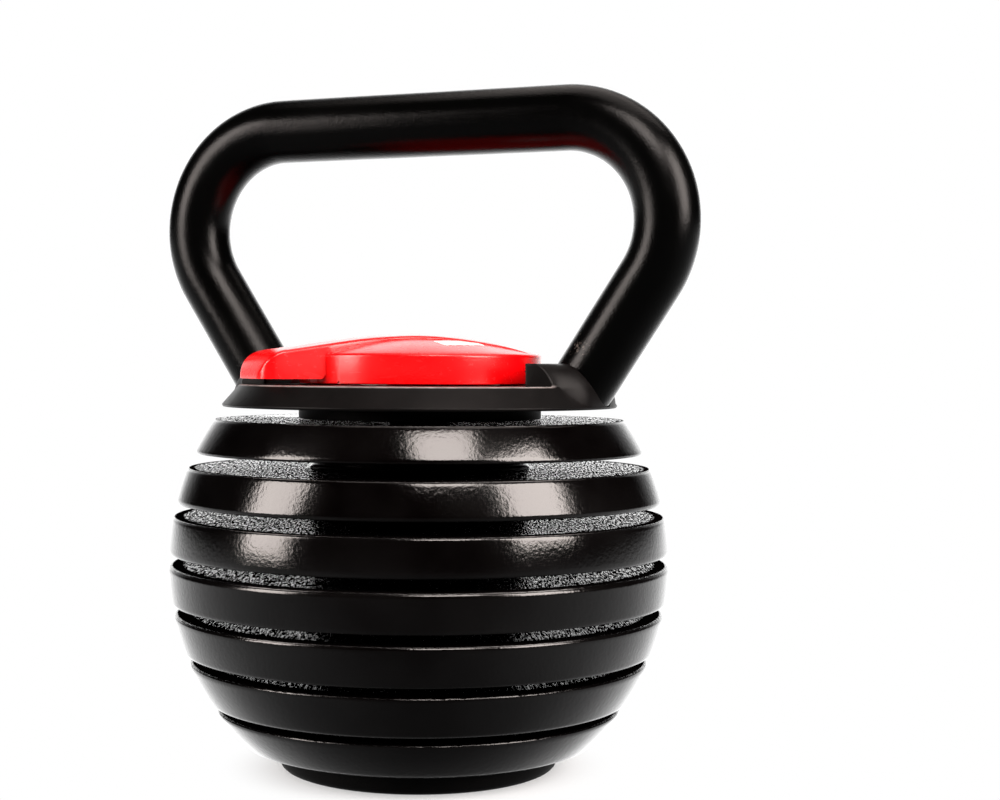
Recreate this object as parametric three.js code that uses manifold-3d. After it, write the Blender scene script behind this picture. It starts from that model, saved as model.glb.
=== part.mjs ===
// Adjustable kettlebell: a bent tube handle on a fixed centre column, six slotted cast plates that
// slide off towards -Y, a fixed base plate with a foot ring, and a quarter-turn lever that locks them.
// Millimetres, +Z up, standing on z = 0 with the column's axis on x = y = 0 and the handle in plane XZ.
import * as THREE from 'three';
import { mergeVertices } from 'three/addons/utils/BufferGeometryUtils.js';
import Module from 'manifold-3d';

const wasm = await Module();
wasm.setup();

// Driving dimensions.
const INCH = 25.4;
const TOTAL_HEIGHT = 10.6 * INCH;
const TOTAL_WIDTH = 9 * INCH;
const GAP = 0.3;                     // clearance between neighbouring solids

// Handle: a one inch tube, straight across the top and bent down and inwards at both ends.
const TUBE_RADIUS = INCH / 2;
const TUBE_WALL = 2.5;
const BEND_RADIUS = 40.3;
const LEG_LEAN = THREE.MathUtils.degToRad(33.1);

// Cast plates, cut from one ball, numbered from the top down.
const BALL_RADIUS = 100;
const BALL_CENTRE_Z = 82.5;
const PLATE_COUNT = 7;
const PLATE_PITCH = 19.15;
const TOP_PLATE_Z = 139.4;
const TOP_PLATE_THICKNESS = 13.3;
const THICKNESS_STEP = 0.55;         // each plate is this much thicker than the one above it
const FOOT_HEIGHT = 10;
const EDGE_CHAMFER = 1.2;
const HUB_RADIUS = 43;
const PLATE_SEGMENTS = 36;
const COLUMN_SEGMENTS = 20;
const PLATE_VOLUME_TARGET = 315000;  // five pounds of cast iron, in cubic millimetres

// Centre column, its collars, and the key shaft with the lock pins inside it.
const COLUMN_RADIUS = 12;
const COLUMN_BORE = 6.2;
const COLUMN_FOOT_Z = 21.3;
const COLUMN_TOP = 154;
const COLLAR_RADIUS = 18;
const COLLAR_HEIGHT = 3.4;
const SLOT_CLEARANCE = 0.4;
const PIN_RADIUS = 2.5;
const PIN_REACH = 20;
const PIN_DEPTH = 3;                 // pin axis below the top of its plate's hub
const SHAFT_RADIUS = 6;
const SHAFT_TOP = 166;
const SHAFT_BOTTOM = 39.5;
const BASE_WASHER_TOP = 14.7;
const BASE_WASHER_BOTTOM = 12.2;
const FOOT_RADIUS = 56;
const FOOT_INNER_RADIUS = 34;

// Head: hub spacer, steel base plate, skirt cover.
const SPACER_RADIUS = 48.5;
const HEAD_PLATE_Z = 145.2;
const HEAD_PLATE_THICKNESS = 5;
const HEAD_PLATE_RADIUS = 68;
const HEAD_PLATE_TOP = HEAD_PLATE_Z + HEAD_PLATE_THICKNESS;
const FLANGE_RADIUS = 32;
const HUB_BOLT_CIRCLE = 24;
const HUB_BOLT_RADIUS = 2.5;
const COVER_SCREW_CIRCLE = 41;
const COVER_SCREW_RADIUS = 2;
const SKIRT_RIM_RADIUS = 78.8;
const SKIRT_RIM_Z = 144.4;
const SKIRT_TOP_RADIUS = 65;
const SKIRT_TOP_Z = 161.8;
const SKIRT_FLOOR_Z = 153.2;
const SKIRT_WALL = 3.2;
const SKIRT_FLOOR_THICKNESS = 2.5;
const SHOULDER_INNER_X = 55;
const SHOULDER_HALF_WIDTH = 28;

// Lever knob.
const KNOB_RADIUS = 48.5;
const KNOB_BOTTOM_Z = 153.7;
const KNOB_EDGE_Z = 163;
const KNOB_APEX_Z = 173.2;
const KNOB_WALL = 3.5;
const KNOB_SEGMENTS = 36;
const KNOB_CROWN_RADIUS = 137.5;     // radius of the shallow dome
const DOME_RINGS = [40, 28, 16];     // radii of the dome's facet rings
const KNOB_BOSS_RADIUS = 10;
const KNOB_BOSS_BOTTOM = COLUMN_TOP + 4.4;
const SET_SCREW_Z = 160.5;
const SET_SCREW_RADIUS = 1.7;
const LABEL_TURNS = 10;              // dome facets between the tab and the label
const TAB_HALF_WIDTH = 17;
const TAB_END = 71;
const TAB_ANGLE = THREE.MathUtils.degToRad(225);

const group = new THREE.Group();

// ---- Materials -------------------------------------------------------------------------------

function finish(color, roughness, metalness) {
  return new THREE.MeshStandardMaterial({ color, roughness, metalness });
}

const castEnamel = () => finish(0x0b0b0c, 0.28, 0.0);
const powderCoat = () => finish(0x101012, 0.45, 0.0);
const blackPlastic = () => finish(0x17171a, 0.6, 0.0);
const redPlastic = () => finish(0xe0121a, 0.35, 0.0);
const blackRubber = () => finish(0x0d0d0d, 0.8, 0.0);
const zincSteel = () => finish(0xb4b7ba, 0.35, 1.0);
const springSteel = () => finish(0x6f7478, 0.4, 1.0);
const paperLabel = () => finish(0xe9e9ea, 0.5, 0.0);

// ---- Solids ----------------------------------------------------------------------------------

/** Turns a closed geometry into a manifold solid, its vertices merged by position. */
function solid(geometry) {
  const bare = geometry.clone();
  bare.deleteAttribute('normal');
  bare.deleteAttribute('uv');
  const merged = mergeVertices(bare, 1e-4);
  const index = merged.index.array;
  const triangles = [];
  for (let i = 0; i < index.length; i += 3) {
    const [a, b, c] = [index[i], index[i + 1], index[i + 2]];
    if (a !== b && b !== c && c !== a) triangles.push(a, b, c);
  }
  return new wasm.Manifold(new wasm.Mesh({
    numProp: 3,
    vertProperties: new Float32Array(merged.attributes.position.array),
    triVerts: new Uint32Array(triangles),
  }));
}

/** Turns a manifold solid back into a geometry. */
function geometryOf(shape) {
  const mesh = shape.getMesh();
  const geometry = new THREE.BufferGeometry();
  geometry.setAttribute('position', new THREE.BufferAttribute(mesh.vertProperties, 3));
  geometry.setIndex(new THREE.BufferAttribute(mesh.triVerts, 1));
  geometry.computeVertexNormals();
  return geometry;
}

/** Adds one named mesh to the object; shape is a manifold solid or a geometry. */
function addPart(name, shape, material) {
  const geometry = shape.isBufferGeometry ? shape : geometryOf(shape);
  const mesh = new THREE.Mesh(geometry, material);
  mesh.name = name;
  group.add(mesh);
  return mesh;
}

/** Turned body about +Z from [radius, z] points that run up the outside, closed on the axis or on itself. */
function turned(points, segments) {
  const profile = points.map(([radius, z]) => new THREE.Vector2(radius, z));
  return new THREE.LatheGeometry(profile, segments).rotateX(Math.PI / 2);
}

/** Solid disc or drum about +Z. */
function drum(radius, bottom, top, segments) {
  return turned([[0, bottom], [radius, bottom], [radius, top], [0, top]], segments);
}

/** Ring about +Z with a through bore. */
function ring(inner, outer, bottom, top, segments) {
  return turned([[inner, bottom], [outer, bottom], [outer, top], [inner, top], [inner, bottom]], segments);
}

/** Box between two corners. */
function box([x0, y0, z0], [x1, y1, z1]) {
  return new THREE.BoxGeometry(x1 - x0, y1 - y0, z1 - z0)
    .translate((x0 + x1) / 2, (y0 + y1) / 2, (z0 + z1) / 2);
}

/** Rod along +Y from y0 to y1 at height z. */
function rodAlongY(radius, y0, y1, z, segments) {
  return new THREE.CylinderGeometry(radius, radius, y1 - y0, segments).translate(0, (y0 + y1) / 2, z);
}

/** Thin rod along +X from x0 to x1 at height z. */
function rodAlongX(radius, x0, x1, z) {
  return new THREE.CylinderGeometry(radius, radius, x1 - x0, 8)
    .rotateZ(Math.PI / 2)
    .translate((x0 + x1) / 2, 0, z);
}

/** Rod along +Z standing at (x, y). */
function rodAlongZ(radius, bottom, top, x, y, segments) {
  return drum(radius, bottom, top, segments).translate(x, y, 0);
}

/** Points spread evenly round the axis. */
function roundTheAxis(count, radius, firstAngle) {
  return Array.from({ length: count }, (_, i) => {
    const angle = firstAngle + (i * 2 * Math.PI) / count;
    return [radius * Math.cos(angle), radius * Math.sin(angle)];
  });
}

// ---- Plate levels ----------------------------------------------------------------------------

/** Ball radius at a height. */
function ballRadius(z) {
  return Math.sqrt(BALL_RADIUS ** 2 - (z - BALL_CENTRE_Z) ** 2);
}

/** Bottom and top of the rim of plate k, counted 1 to 7 from the top. */
function plateLevels(k) {
  const top = TOP_PLATE_Z - PLATE_PITCH * (k - 1);
  const bottom = k === PLATE_COUNT ? FOOT_HEIGHT : top - TOP_PLATE_THICKNESS - THICKNESS_STEP * (k - 1);
  return { top, bottom };
}

/** Top of the hub of plate k, which stops just under the plate above it. */
function hubTop(k) {
  return k === 1 ? TOP_PLATE_Z : plateLevels(k - 1).bottom - GAP;
}

/** Height of the pin that locks plate k. */
function pinHeight(k) {
  return hubTop(k) - PIN_DEPTH;
}

// ---- Handle ----------------------------------------------------------------------------------

/** Centreline of the handle, from the left leg's foot over the top bar to the right leg's foot. */
class HandleLine extends THREE.Curve {
  constructor(footZ) {
    super();
    const barZ = TOTAL_HEIGHT - TUBE_RADIUS;
    const bendX = TOTAL_WIDTH / 2 - TUBE_RADIUS - BEND_RADIUS;
    const bendZ = barZ - BEND_RADIUS;
    const legTop = new THREE.Vector2(
      bendX + BEND_RADIUS * Math.cos(LEG_LEAN), bendZ - BEND_RADIUS * Math.sin(LEG_LEAN));
    const footX = legTop.x - (legTop.y - footZ) * Math.tan(LEG_LEAN);
    this.line = new THREE.Path();
    this.line.moveTo(-footX, footZ);
    this.line.lineTo(-legTop.x, legTop.y);
    this.line.absarc(-bendX, bendZ, BEND_RADIUS, Math.PI + LEG_LEAN, Math.PI / 2, true);
    this.line.lineTo(bendX, barZ);
    this.line.absarc(bendX, bendZ, BEND_RADIUS, Math.PI / 2, -LEG_LEAN, true);
    this.line.lineTo(footX, footZ);
  }

  getPoint(t, target = new THREE.Vector3()) {
    const point = this.line.getPointAt(t);
    return target.set(point.x, 0, point.y);
  }
}

/** Hollow or solid round bar along the handle's line, its feet cut level at the head plate's underside. */
function handleBar(outer, inner) {
  const section = new THREE.Shape().absarc(0, 0, outer, 0, 2 * Math.PI, false);
  if (inner > 0) {
    const corners = roundTheAxis(8, inner, 0).map(([x, y]) => new THREE.Vector2(x, y));
    section.holes.push(new THREE.Path([...corners.reverse(), corners[0]]));
  }
  const overrun = 12;                // the feet run past the cut, then the cut squares them off
  const geometry = new THREE.ExtrudeGeometry(section, {
    steps: 40,
    curveSegments: 8,
    extrudePath: new HandleLine(HEAD_PLATE_Z - overrun),
  });
  const belowHead = box([-120, -30, HEAD_PLATE_Z - 4 * overrun], [120, 30, HEAD_PLATE_Z]);
  return solid(geometry).subtract(solid(belowHead));
}

addPart('handle_tube', handleBar(TUBE_RADIUS, TUBE_RADIUS - TUBE_WALL), powderCoat());

// ---- Cast plates -----------------------------------------------------------------------------

/** Inner and outer radius of the ring-shaped recess under plate k, which trims its weight. */
function recessRadii(k) {
  const { top, bottom } = plateLevels(k);
  return [HUB_RADIUS + 6, Math.min(ballRadius(top), ballRadius(bottom)) - 13];
}

/** Rim and hub of a plate as a turned body, its underside hollowed by a ring of the given depth. */
function plateBlank(k, recessDepth) {
  const { top, bottom } = plateLevels(k);
  const hub = hubTop(k);
  const [recessInner, recessOuter] = recessRadii(k);
  const points = [[0, bottom]];
  if (recessDepth > 0.5) {
    points.push([recessInner, bottom], [recessInner, bottom + recessDepth]);
    points.push([recessOuter, bottom + recessDepth], [recessOuter, bottom]);
  }
  points.push([ballRadius(bottom + EDGE_CHAMFER) - EDGE_CHAMFER, bottom]);
  for (const share of [0, 1]) {
    const z = THREE.MathUtils.lerp(bottom + EDGE_CHAMFER, top - EDGE_CHAMFER, share);
    points.push([ballRadius(z), z]);
  }
  points.push([ballRadius(top - EDGE_CHAMFER) - EDGE_CHAMFER, top]);
  if (hub > top) points.push([HUB_RADIUS, top], [HUB_RADIUS, hub]);
  points.push([0, hub]);
  return solid(turned(points, PLATE_SEGMENTS));
}

/** A sliding plate: keyhole slot to the back, collar recess below, sector pocket for its pin on top. */
function slottedPlate(k) {
  const { bottom } = plateLevels(k);
  const hub = hubTop(k);
  const past = BALL_RADIUS + 10;
  const neck = COLUMN_RADIUS + SLOT_CLEARANCE;
  const wide = COLLAR_RADIUS + SLOT_CLEARANCE;
  const recessTop = bottom + COLLAR_HEIGHT + 2 * GAP;
  const slot = solid(drum(neck, bottom - 1, hub + 1, COLUMN_SEGMENTS))
    .add(solid(box([-neck, 0, bottom - 1], [neck, past, hub + 1])));
  const collarSlot = solid(drum(wide, bottom - 1, recessTop, COLUMN_SEGMENTS))
    .add(solid(box([-wide, 0, bottom - 1], [wide, past, recessTop])));
  const pocketFloor = pinHeight(k) - PIN_RADIUS - 0.5;
  const pocketSide = PIN_RADIUS + SLOT_CLEARANCE;
  const pocket = solid(drum(PIN_REACH + 0.6, pocketFloor, hub + 1, COLUMN_SEGMENTS))
    .intersect(solid(box([-past, -pocketSide, pocketFloor - 1], [0, past, hub + 2])));
  const cutter = slot.add(collarSlot).add(pocket);
  const full = plateBlank(k, 0).subtract(cutter);
  const [recessInner, recessOuter] = recessRadii(k);
  const recessArea = Math.PI * (recessOuter ** 2 - recessInner ** 2) - 2 * wide * (recessOuter - recessInner);
  const spare = (full.volume() - PLATE_VOLUME_TARGET) / recessArea;
  return plateBlank(k, THREE.MathUtils.clamp(spare, 0, 6)).subtract(cutter);
}

/** The fixed bottom plate: a seat for the column's flange on top and a bolt recess below. */
function bottomPlate() {
  const flangeSeat = drum(COLLAR_RADIUS + GAP, COLUMN_FOOT_Z - GAP, hubTop(PLATE_COUNT) + 1, COLUMN_SEGMENTS);
  const bore = drum(COLUMN_BORE, 0, COLUMN_FOOT_Z + 1, COLUMN_SEGMENTS);
  const boltRecess = drum(22, FOOT_HEIGHT - 1, BASE_WASHER_TOP + GAP, COLUMN_SEGMENTS);
  return plateBlank(PLATE_COUNT, 0)
    .subtract(solid(flangeSeat))
    .subtract(solid(bore))
    .subtract(solid(boltRecess));
}

for (let k = 1; k < PLATE_COUNT; k += 1) {
  addPart(`plate_${k}`, slottedPlate(k), castEnamel());
}
addPart(`plate_${PLATE_COUNT}`, bottomPlate(), castEnamel());

// ---- Centre column, bottom fixings and foot --------------------------------------------------

/** Column with a bottom flange, one collar under each sliding plate, and a window for each pin. */
function centreColumn() {
  const flangeTop = hubTop(PLATE_COUNT) - 0.4;
  const points = [[COLUMN_BORE, COLUMN_FOOT_Z], [COLLAR_RADIUS, COLUMN_FOOT_Z]];
  points.push([COLLAR_RADIUS, flangeTop], [COLUMN_RADIUS, flangeTop]);
  for (let k = PLATE_COUNT - 1; k >= 1; k -= 1) {
    const collarBottom = plateLevels(k).bottom + GAP;
    const collarTop = collarBottom + COLLAR_HEIGHT;
    points.push([COLUMN_RADIUS, collarBottom], [COLLAR_RADIUS, collarBottom]);
    points.push([COLLAR_RADIUS, collarTop], [COLUMN_RADIUS, collarTop]);
  }
  points.push([COLUMN_RADIUS, COLUMN_TOP], [COLUMN_BORE, COLUMN_TOP], [COLUMN_BORE, COLUMN_FOOT_Z]);
  let column = solid(turned(points, COLUMN_SEGMENTS));
  const side = PIN_RADIUS + GAP;
  for (let k = 1; k < PLATE_COUNT; k += 1) {
    const z = pinHeight(k);
    column = column.subtract(solid(box([-30, -side, z - side], [side, 30, z + side])));
  }
  return column;
}

addPart('centre_column', centreColumn(), zincSteel());
addPart('base_washer', ring(COLUMN_BORE, 16, BASE_WASHER_BOTTOM, BASE_WASHER_TOP, 20), zincSteel());

const boltHead = solid(drum(10, BASE_WASHER_BOTTOM - GAP - 5.5, BASE_WASHER_BOTTOM - GAP, 6));
const boltShank = solid(drum(COLUMN_BORE - GAP, BASE_WASHER_BOTTOM - 2, SHAFT_BOTTOM - 1.5, COLUMN_SEGMENTS));
addPart('base_bolt', boltHead.add(boltShank), zincSteel());

const footProfile = [
  [FOOT_INNER_RADIUS, 0], [FOOT_RADIUS - 4, 0], [FOOT_RADIUS - 1.2, 1.2], [FOOT_RADIUS, 4],
  [FOOT_RADIUS, FOOT_HEIGHT - GAP], [FOOT_INNER_RADIUS, FOOT_HEIGHT - GAP], [FOOT_INNER_RADIUS, 0],
];
addPart('foot_ring', turned(footProfile, PLATE_SEGMENTS), blackRubber());

// ---- Head: spacer, head plate, column flange and their bolts ---------------------------------

const hubBoltPlaces = roundTheAxis(4, HUB_BOLT_CIRCLE, 0);
const coverScrewPlaces = roundTheAxis(4, COVER_SCREW_CIRCLE, Math.PI / 4);

/** Cuts a row of upright round holes. */
function drill(shape, places, radius, bottom, top) {
  let drilled = shape;
  for (const [x, y] of places) {
    drilled = drilled.subtract(solid(rodAlongZ(radius, bottom, top, x, y, 8)));
  }
  return drilled;
}

const spacerBottom = TOP_PLATE_Z + GAP;
const spacerTop = HEAD_PLATE_Z - GAP;
const hubSpacer = solid(ring(COLUMN_RADIUS + GAP, SPACER_RADIUS, spacerBottom, spacerTop, 32));
const spacerDrilled = drill(hubSpacer, hubBoltPlaces, HUB_BOLT_RADIUS + GAP, spacerBottom + 1, 150);
addPart('hub_spacer', spacerDrilled, castEnamel());

const headDisc = ring(COLUMN_RADIUS + GAP, HEAD_PLATE_RADIUS, HEAD_PLATE_Z, HEAD_PLATE_TOP, PLATE_SEGMENTS);
let headPlate = solid(headDisc).subtract(handleBar(TUBE_RADIUS + GAP, 0));
headPlate = drill(headPlate, hubBoltPlaces, HUB_BOLT_RADIUS + GAP, 140, 160);
headPlate = drill(headPlate, coverScrewPlaces, COVER_SCREW_RADIUS + GAP, 140, 160);
addPart('head_plate', headPlate, zincSteel());

const flangeBottom = HEAD_PLATE_TOP + GAP;
const columnFlange = solid(ring(COLUMN_RADIUS + GAP, FLANGE_RADIUS, flangeBottom, COLUMN_TOP, 32));
addPart('column_flange', drill(columnFlange, hubBoltPlaces, HUB_BOLT_RADIUS + GAP, 140, 160), zincSteel());

hubBoltPlaces.forEach(([x, y], i) => {
  const head = solid(rodAlongZ(4.2, COLUMN_TOP + GAP, COLUMN_TOP + GAP + 3, x, y, 6));
  const shank = solid(rodAlongZ(HUB_BOLT_RADIUS, spacerBottom + 1.5, COLUMN_TOP + 1, x, y, 8));
  addPart(`hub_bolt_${i + 1}`, head.add(shank), zincSteel());
});

// ---- Skirt cover -----------------------------------------------------------------------------

/** Radius of the skirt's cone at a height. */
function skirtRadius(z) {
  const share = (z - SKIRT_RIM_Z) / (SKIRT_TOP_Z - SKIRT_RIM_Z);
  return THREE.MathUtils.lerp(SKIRT_RIM_RADIUS, SKIRT_TOP_RADIUS, share);
}

/** The two shoulder blocks beside the legs, with their faces moved inwards by inset. */
function shoulderBlocks(inset, bottom, top) {
  const inner = SHOULDER_INNER_X + inset;
  const half = SHOULDER_HALF_WIDTH - inset;
  const right = solid(box([inner, -half, bottom], [100, half, top]));
  const left = solid(box([-100, -half, bottom], [-inner, half, top]));
  return right.add(left);
}

/** Cone from one height to another, its surface moved inwards by inset. */
function skirtCone(inset, bottom, top) {
  const lowRadius = skirtRadius(bottom) - inset;
  const highRadius = skirtRadius(top) - inset;
  return solid(turned([[0, bottom], [lowRadius, bottom], [highRadius, top], [0, top]], PLATE_SEGMENTS));
}

/** Thin cover: cone up to the floor, shoulders up to the top, hollow below, open at both leg roots. */
function skirtCover() {
  const floorBottom = SKIRT_FLOOR_Z - SKIRT_FLOOR_THICKNESS;
  const shoulderTop = SKIRT_TOP_Z - SKIRT_FLOOR_THICKNESS;
  const outer = skirtCone(0, SKIRT_RIM_Z, SKIRT_FLOOR_Z)
    .add(skirtCone(0, SKIRT_RIM_Z, SKIRT_TOP_Z).intersect(shoulderBlocks(0, SKIRT_RIM_Z, SKIRT_TOP_Z)));
  const hollow = skirtCone(SKIRT_WALL, SKIRT_RIM_Z - 1, floorBottom)
    .add(skirtCone(SKIRT_WALL, SKIRT_RIM_Z - 1, shoulderTop)
      .intersect(shoulderBlocks(SKIRT_FLOOR_THICKNESS, SKIRT_RIM_Z - 1, shoulderTop)));
  let cover = outer.subtract(hollow).subtract(handleBar(TUBE_RADIUS + GAP + 0.1, 0));
  cover = cover.subtract(solid(drum(FLANGE_RADIUS + 2, floorBottom - 1, SKIRT_FLOOR_Z + 1, 32)));
  cover = drill(cover, coverScrewPlaces, COVER_SCREW_RADIUS + 0.4, floorBottom - 1, SKIRT_FLOOR_Z + 1);
  return drill(cover, coverScrewPlaces, 4.3, SKIRT_FLOOR_Z - 1.6, SKIRT_FLOOR_Z + 1);
}

addPart('skirt_cover', skirtCover(), blackPlastic());

coverScrewPlaces.forEach(([x, y], i) => {
  const head = solid(rodAlongZ(4, SKIRT_FLOOR_Z - 1.3, SKIRT_FLOOR_Z - 0.1, x, y, 8));
  const shank = solid(rodAlongZ(COVER_SCREW_RADIUS, HEAD_PLATE_Z + 0.5, SKIRT_FLOOR_Z - 1, x, y, 8));
  addPart(`cover_screw_${i + 1}`, head.add(shank), zincSteel());
});

// ---- Key shaft, lock pins and what holds the shaft up ----------------------------------------

let keyShaft = solid(drum(SHAFT_RADIUS, SHAFT_BOTTOM, SHAFT_TOP, COLUMN_SEGMENTS));
for (let k = 1; k < PLATE_COUNT; k += 1) {
  const crossHole = rodAlongY(PIN_RADIUS + GAP, -2 * SHAFT_RADIUS, 2 * SHAFT_RADIUS, pinHeight(k), 12);
  keyShaft = keyShaft.subtract(solid(crossHole));
}
addPart('key_shaft', keyShaft, zincSteel());

for (let k = 1; k < PLATE_COUNT; k += 1) {
  const pin = rodAlongY(PIN_RADIUS, -SHAFT_RADIUS + 0.4, PIN_REACH, pinHeight(k), 12);
  addPart(`lock_pin_${k}`, pin, zincSteel());
}

const washerBottom = COLUMN_TOP + GAP;
addPart('thrust_washer', ring(6.4, 11, washerBottom, washerBottom + 1.2, 20), springSteel());
addPart('wave_washer', ring(6.4, 11, washerBottom + 1.5, washerBottom + 2.3, 20), springSteel());
const clipRing = solid(ring(6.4, 9.5, washerBottom + 2.6, washerBottom + 3.6, 20));
const clipGap = solid(box([-1.5, 0, washerBottom + 2], [1.5, 12, washerBottom + 4]));
addPart('retaining_clip', clipRing.subtract(clipGap), springSteel());

// ---- Lever knob ------------------------------------------------------------------------------

/** Height of the knob's dome at a distance from its axis, measured down from the apex. */
function domeHeight(radius) {
  return KNOB_APEX_Z - KNOB_CROWN_RADIUS + Math.sqrt(KNOB_CROWN_RADIUS ** 2 - radius ** 2);
}

/** Domed disc with its top edge rounded off. */
function knobDisc() {
  const points = [[0, KNOB_BOTTOM_Z], [KNOB_RADIUS, KNOB_BOTTOM_Z], [KNOB_RADIUS, KNOB_EDGE_Z]];
  for (const radius of [46.5, ...DOME_RINGS]) points.push([radius, domeHeight(radius)]);
  points.push([0, KNOB_APEX_Z]);
  return solid(turned(points, KNOB_SEGMENTS));
}

/** Finger tab along +X: flat below, sloping above, with a quarter-round nose and rounded corners. */
function fingerTab() {
  const noseRadius = 11.5;
  const noseZ = 156.9;
  const side = new THREE.Shape();
  side.moveTo(0, 155.5);
  side.lineTo(TAB_END - 1.5, 155.5);
  side.lineTo(TAB_END, noseZ);
  side.absarc(TAB_END - noseRadius, noseZ, noseRadius, 0, Math.PI / 2, false);
  side.lineTo(40, 171);
  side.lineTo(0, 171);
  const bar = new THREE.ExtrudeGeometry(side, {
    depth: 2 * TAB_HALF_WIDTH, bevelEnabled: false, curveSegments: 6,
  }).rotateX(Math.PI / 2).translate(0, TAB_HALF_WIDTH, 0);
  const corner = 6;
  const plan = new THREE.Shape();
  plan.moveTo(-1, -TAB_HALF_WIDTH);
  plan.absarc(TAB_END - corner, -TAB_HALF_WIDTH + corner, corner, -Math.PI / 2, 0, false);
  plan.absarc(TAB_END - corner, TAB_HALF_WIDTH - corner, corner, 0, Math.PI / 2, false);
  plan.lineTo(-1, TAB_HALF_WIDTH);
  plan.closePath();
  const outline = new THREE.ExtrudeGeometry(plan, {
    depth: 40, bevelEnabled: false, curveSegments: 5,
  }).translate(0, 0, 140);
  return solid(bar).intersect(solid(outline));
}

/** Moulded knob: disc and tab, hollow below, with a boss for the key shaft and a set screw hole. */
function leverKnob() {
  const inner = KNOB_RADIUS - KNOB_WALL;
  const hollow = turned([
    [0, KNOB_BOTTOM_Z - 1], [inner, KNOB_BOTTOM_Z - 1], [inner, 162], [30, 166.5], [0, 170],
  ], KNOB_SEGMENTS);
  const tabHollow = box([KNOB_RADIUS + 2.5, -13.5, 154], [TAB_END - 5, 13.5, 163.5]);
  const boss = drum(KNOB_BOSS_RADIUS, KNOB_BOSS_BOTTOM, 171, 20);
  const bore = drum(SHAFT_RADIUS + GAP, KNOB_BOSS_BOTTOM - 1, SHAFT_TOP + 0.5, 20);
  const bossHole = rodAlongX(SET_SCREW_RADIUS + GAP, -12.5, -4.5, SET_SCREW_Z);
  const wallHole = rodAlongX(SET_SCREW_RADIUS + 1, -KNOB_RADIUS - 2, -KNOB_RADIUS + 6, SET_SCREW_Z);
  return knobDisc().add(fingerTab())
    .subtract(solid(hollow))
    .subtract(solid(tabHollow))
    .add(solid(boss))
    .subtract(solid(bore))
    .subtract(solid(bossHole))
    .subtract(solid(wallHole));
}

const knob = addPart('lever_knob', leverKnob(), redPlastic());
knob.rotation.z = TAB_ANGLE;

const setScrew = rodAlongX(SET_SCREW_RADIUS, -11.4, -SHAFT_RADIUS - 0.4, SET_SCREW_Z);
addPart('knob_set_screw', setScrew, springSteel()).rotation.z = TAB_ANGLE;

/** Thin stuck-on label that follows the dome, in front and to the right of the axis. */
function knobLabel() {
  const under = [...DOME_RINGS].reverse().map((radius) => [radius, domeHeight(radius) + GAP]);
  const over = DOME_RINGS.map((radius) => [radius, domeHeight(radius) + 2 * GAP]);
  const shell = turned([...under, ...over, under[0]], KNOB_SEGMENTS);
  return solid(shell).intersect(solid(box([24, -9.2, 160], [33.4, 9.2, 180])));
}

const label = addPart('knob_label', knobLabel(), paperLabel());
label.rotation.z = TAB_ANGLE + (LABEL_TURNS * 2 * Math.PI) / KNOB_SEGMENTS;

export default group;
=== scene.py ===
"""Looks of an adjustable kettlebell: cast plates, bent tube handle, skirt cover and lock lever.

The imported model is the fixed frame. Fine surfaces stand for its visible nodes, and the hidden
hardware keeps its own meshes and gets finished materials. Shapes are worked out in millimetres and
written in metres. The object stands on z = 0 with its column on the Z axis and its handle in plane XZ.
"""
import sys
import logging
import math
from dataclasses import dataclass
from enum import Enum
from typing import Iterable, Sequence, Union

import bmesh
import bpy
import numpy as np
from mathutils import Matrix


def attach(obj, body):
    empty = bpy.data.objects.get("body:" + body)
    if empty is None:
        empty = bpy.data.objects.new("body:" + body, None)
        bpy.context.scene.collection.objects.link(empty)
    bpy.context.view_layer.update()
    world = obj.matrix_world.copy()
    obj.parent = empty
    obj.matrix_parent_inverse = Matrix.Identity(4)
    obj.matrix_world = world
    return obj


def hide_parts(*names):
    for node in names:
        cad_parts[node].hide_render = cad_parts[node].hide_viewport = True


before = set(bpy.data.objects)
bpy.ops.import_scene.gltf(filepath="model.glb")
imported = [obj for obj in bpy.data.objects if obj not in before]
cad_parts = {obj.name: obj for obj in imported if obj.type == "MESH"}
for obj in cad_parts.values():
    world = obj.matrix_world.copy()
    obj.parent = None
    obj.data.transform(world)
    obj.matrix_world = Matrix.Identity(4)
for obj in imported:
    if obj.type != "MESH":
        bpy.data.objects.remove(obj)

log = logging.getLogger("kettlebell")

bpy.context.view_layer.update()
MM = 0.001
SHARP_ANGLE = math.radians(38)
# In millimetres: clearance between pieces, least difference told apart, half the dull band's fall.
GAP = 0.3
HAIR = 1e-6
BAND_FALL = 2.5
# In metres: points closer than this are one, and edges shorter than this are dropped.
SAME_POINT = 2e-6
NO_EDGE = 1e-6
HALF_TURN = math.pi
QUARTER = math.pi / 2
Color = tuple[float, float, float, float]
Triple = tuple[float, float, float]
Corners = Sequence[Triple]
Piece = bpy.types.Object
Tree = bpy.types.NodeTree
Node = bpy.types.Node
Socket = bpy.types.NodeSocket
Source = Union[Node, Socket, float, tuple[float, ...]]


# ---- Material nodes ----


def linear(code: str) -> Color:
    """Turns an sRGB hex colour into linear red, green, blue and alpha.

    Args:
        code: Six hex digits with a leading #.

    Returns:
        The linear colour with alpha 1.
    """
    parts = [int(code[i:i + 2], 16) / 255 for i in (1, 3, 5)]
    curve = [p / 12.92 if p <= 0.04045 else ((p + 0.055) / 1.055) ** 2.4 for p in parts]
    return (*curve, 1.0)


def grey(value: float) -> Color:
    """A linear grey."""
    return (value, value, value, 1.0)


def per_metre(size_mm: float) -> float:
    """Texture scale, in features per metre, of a pattern whose features are size_mm across."""
    return 1.0 / (size_mm * MM)


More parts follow.
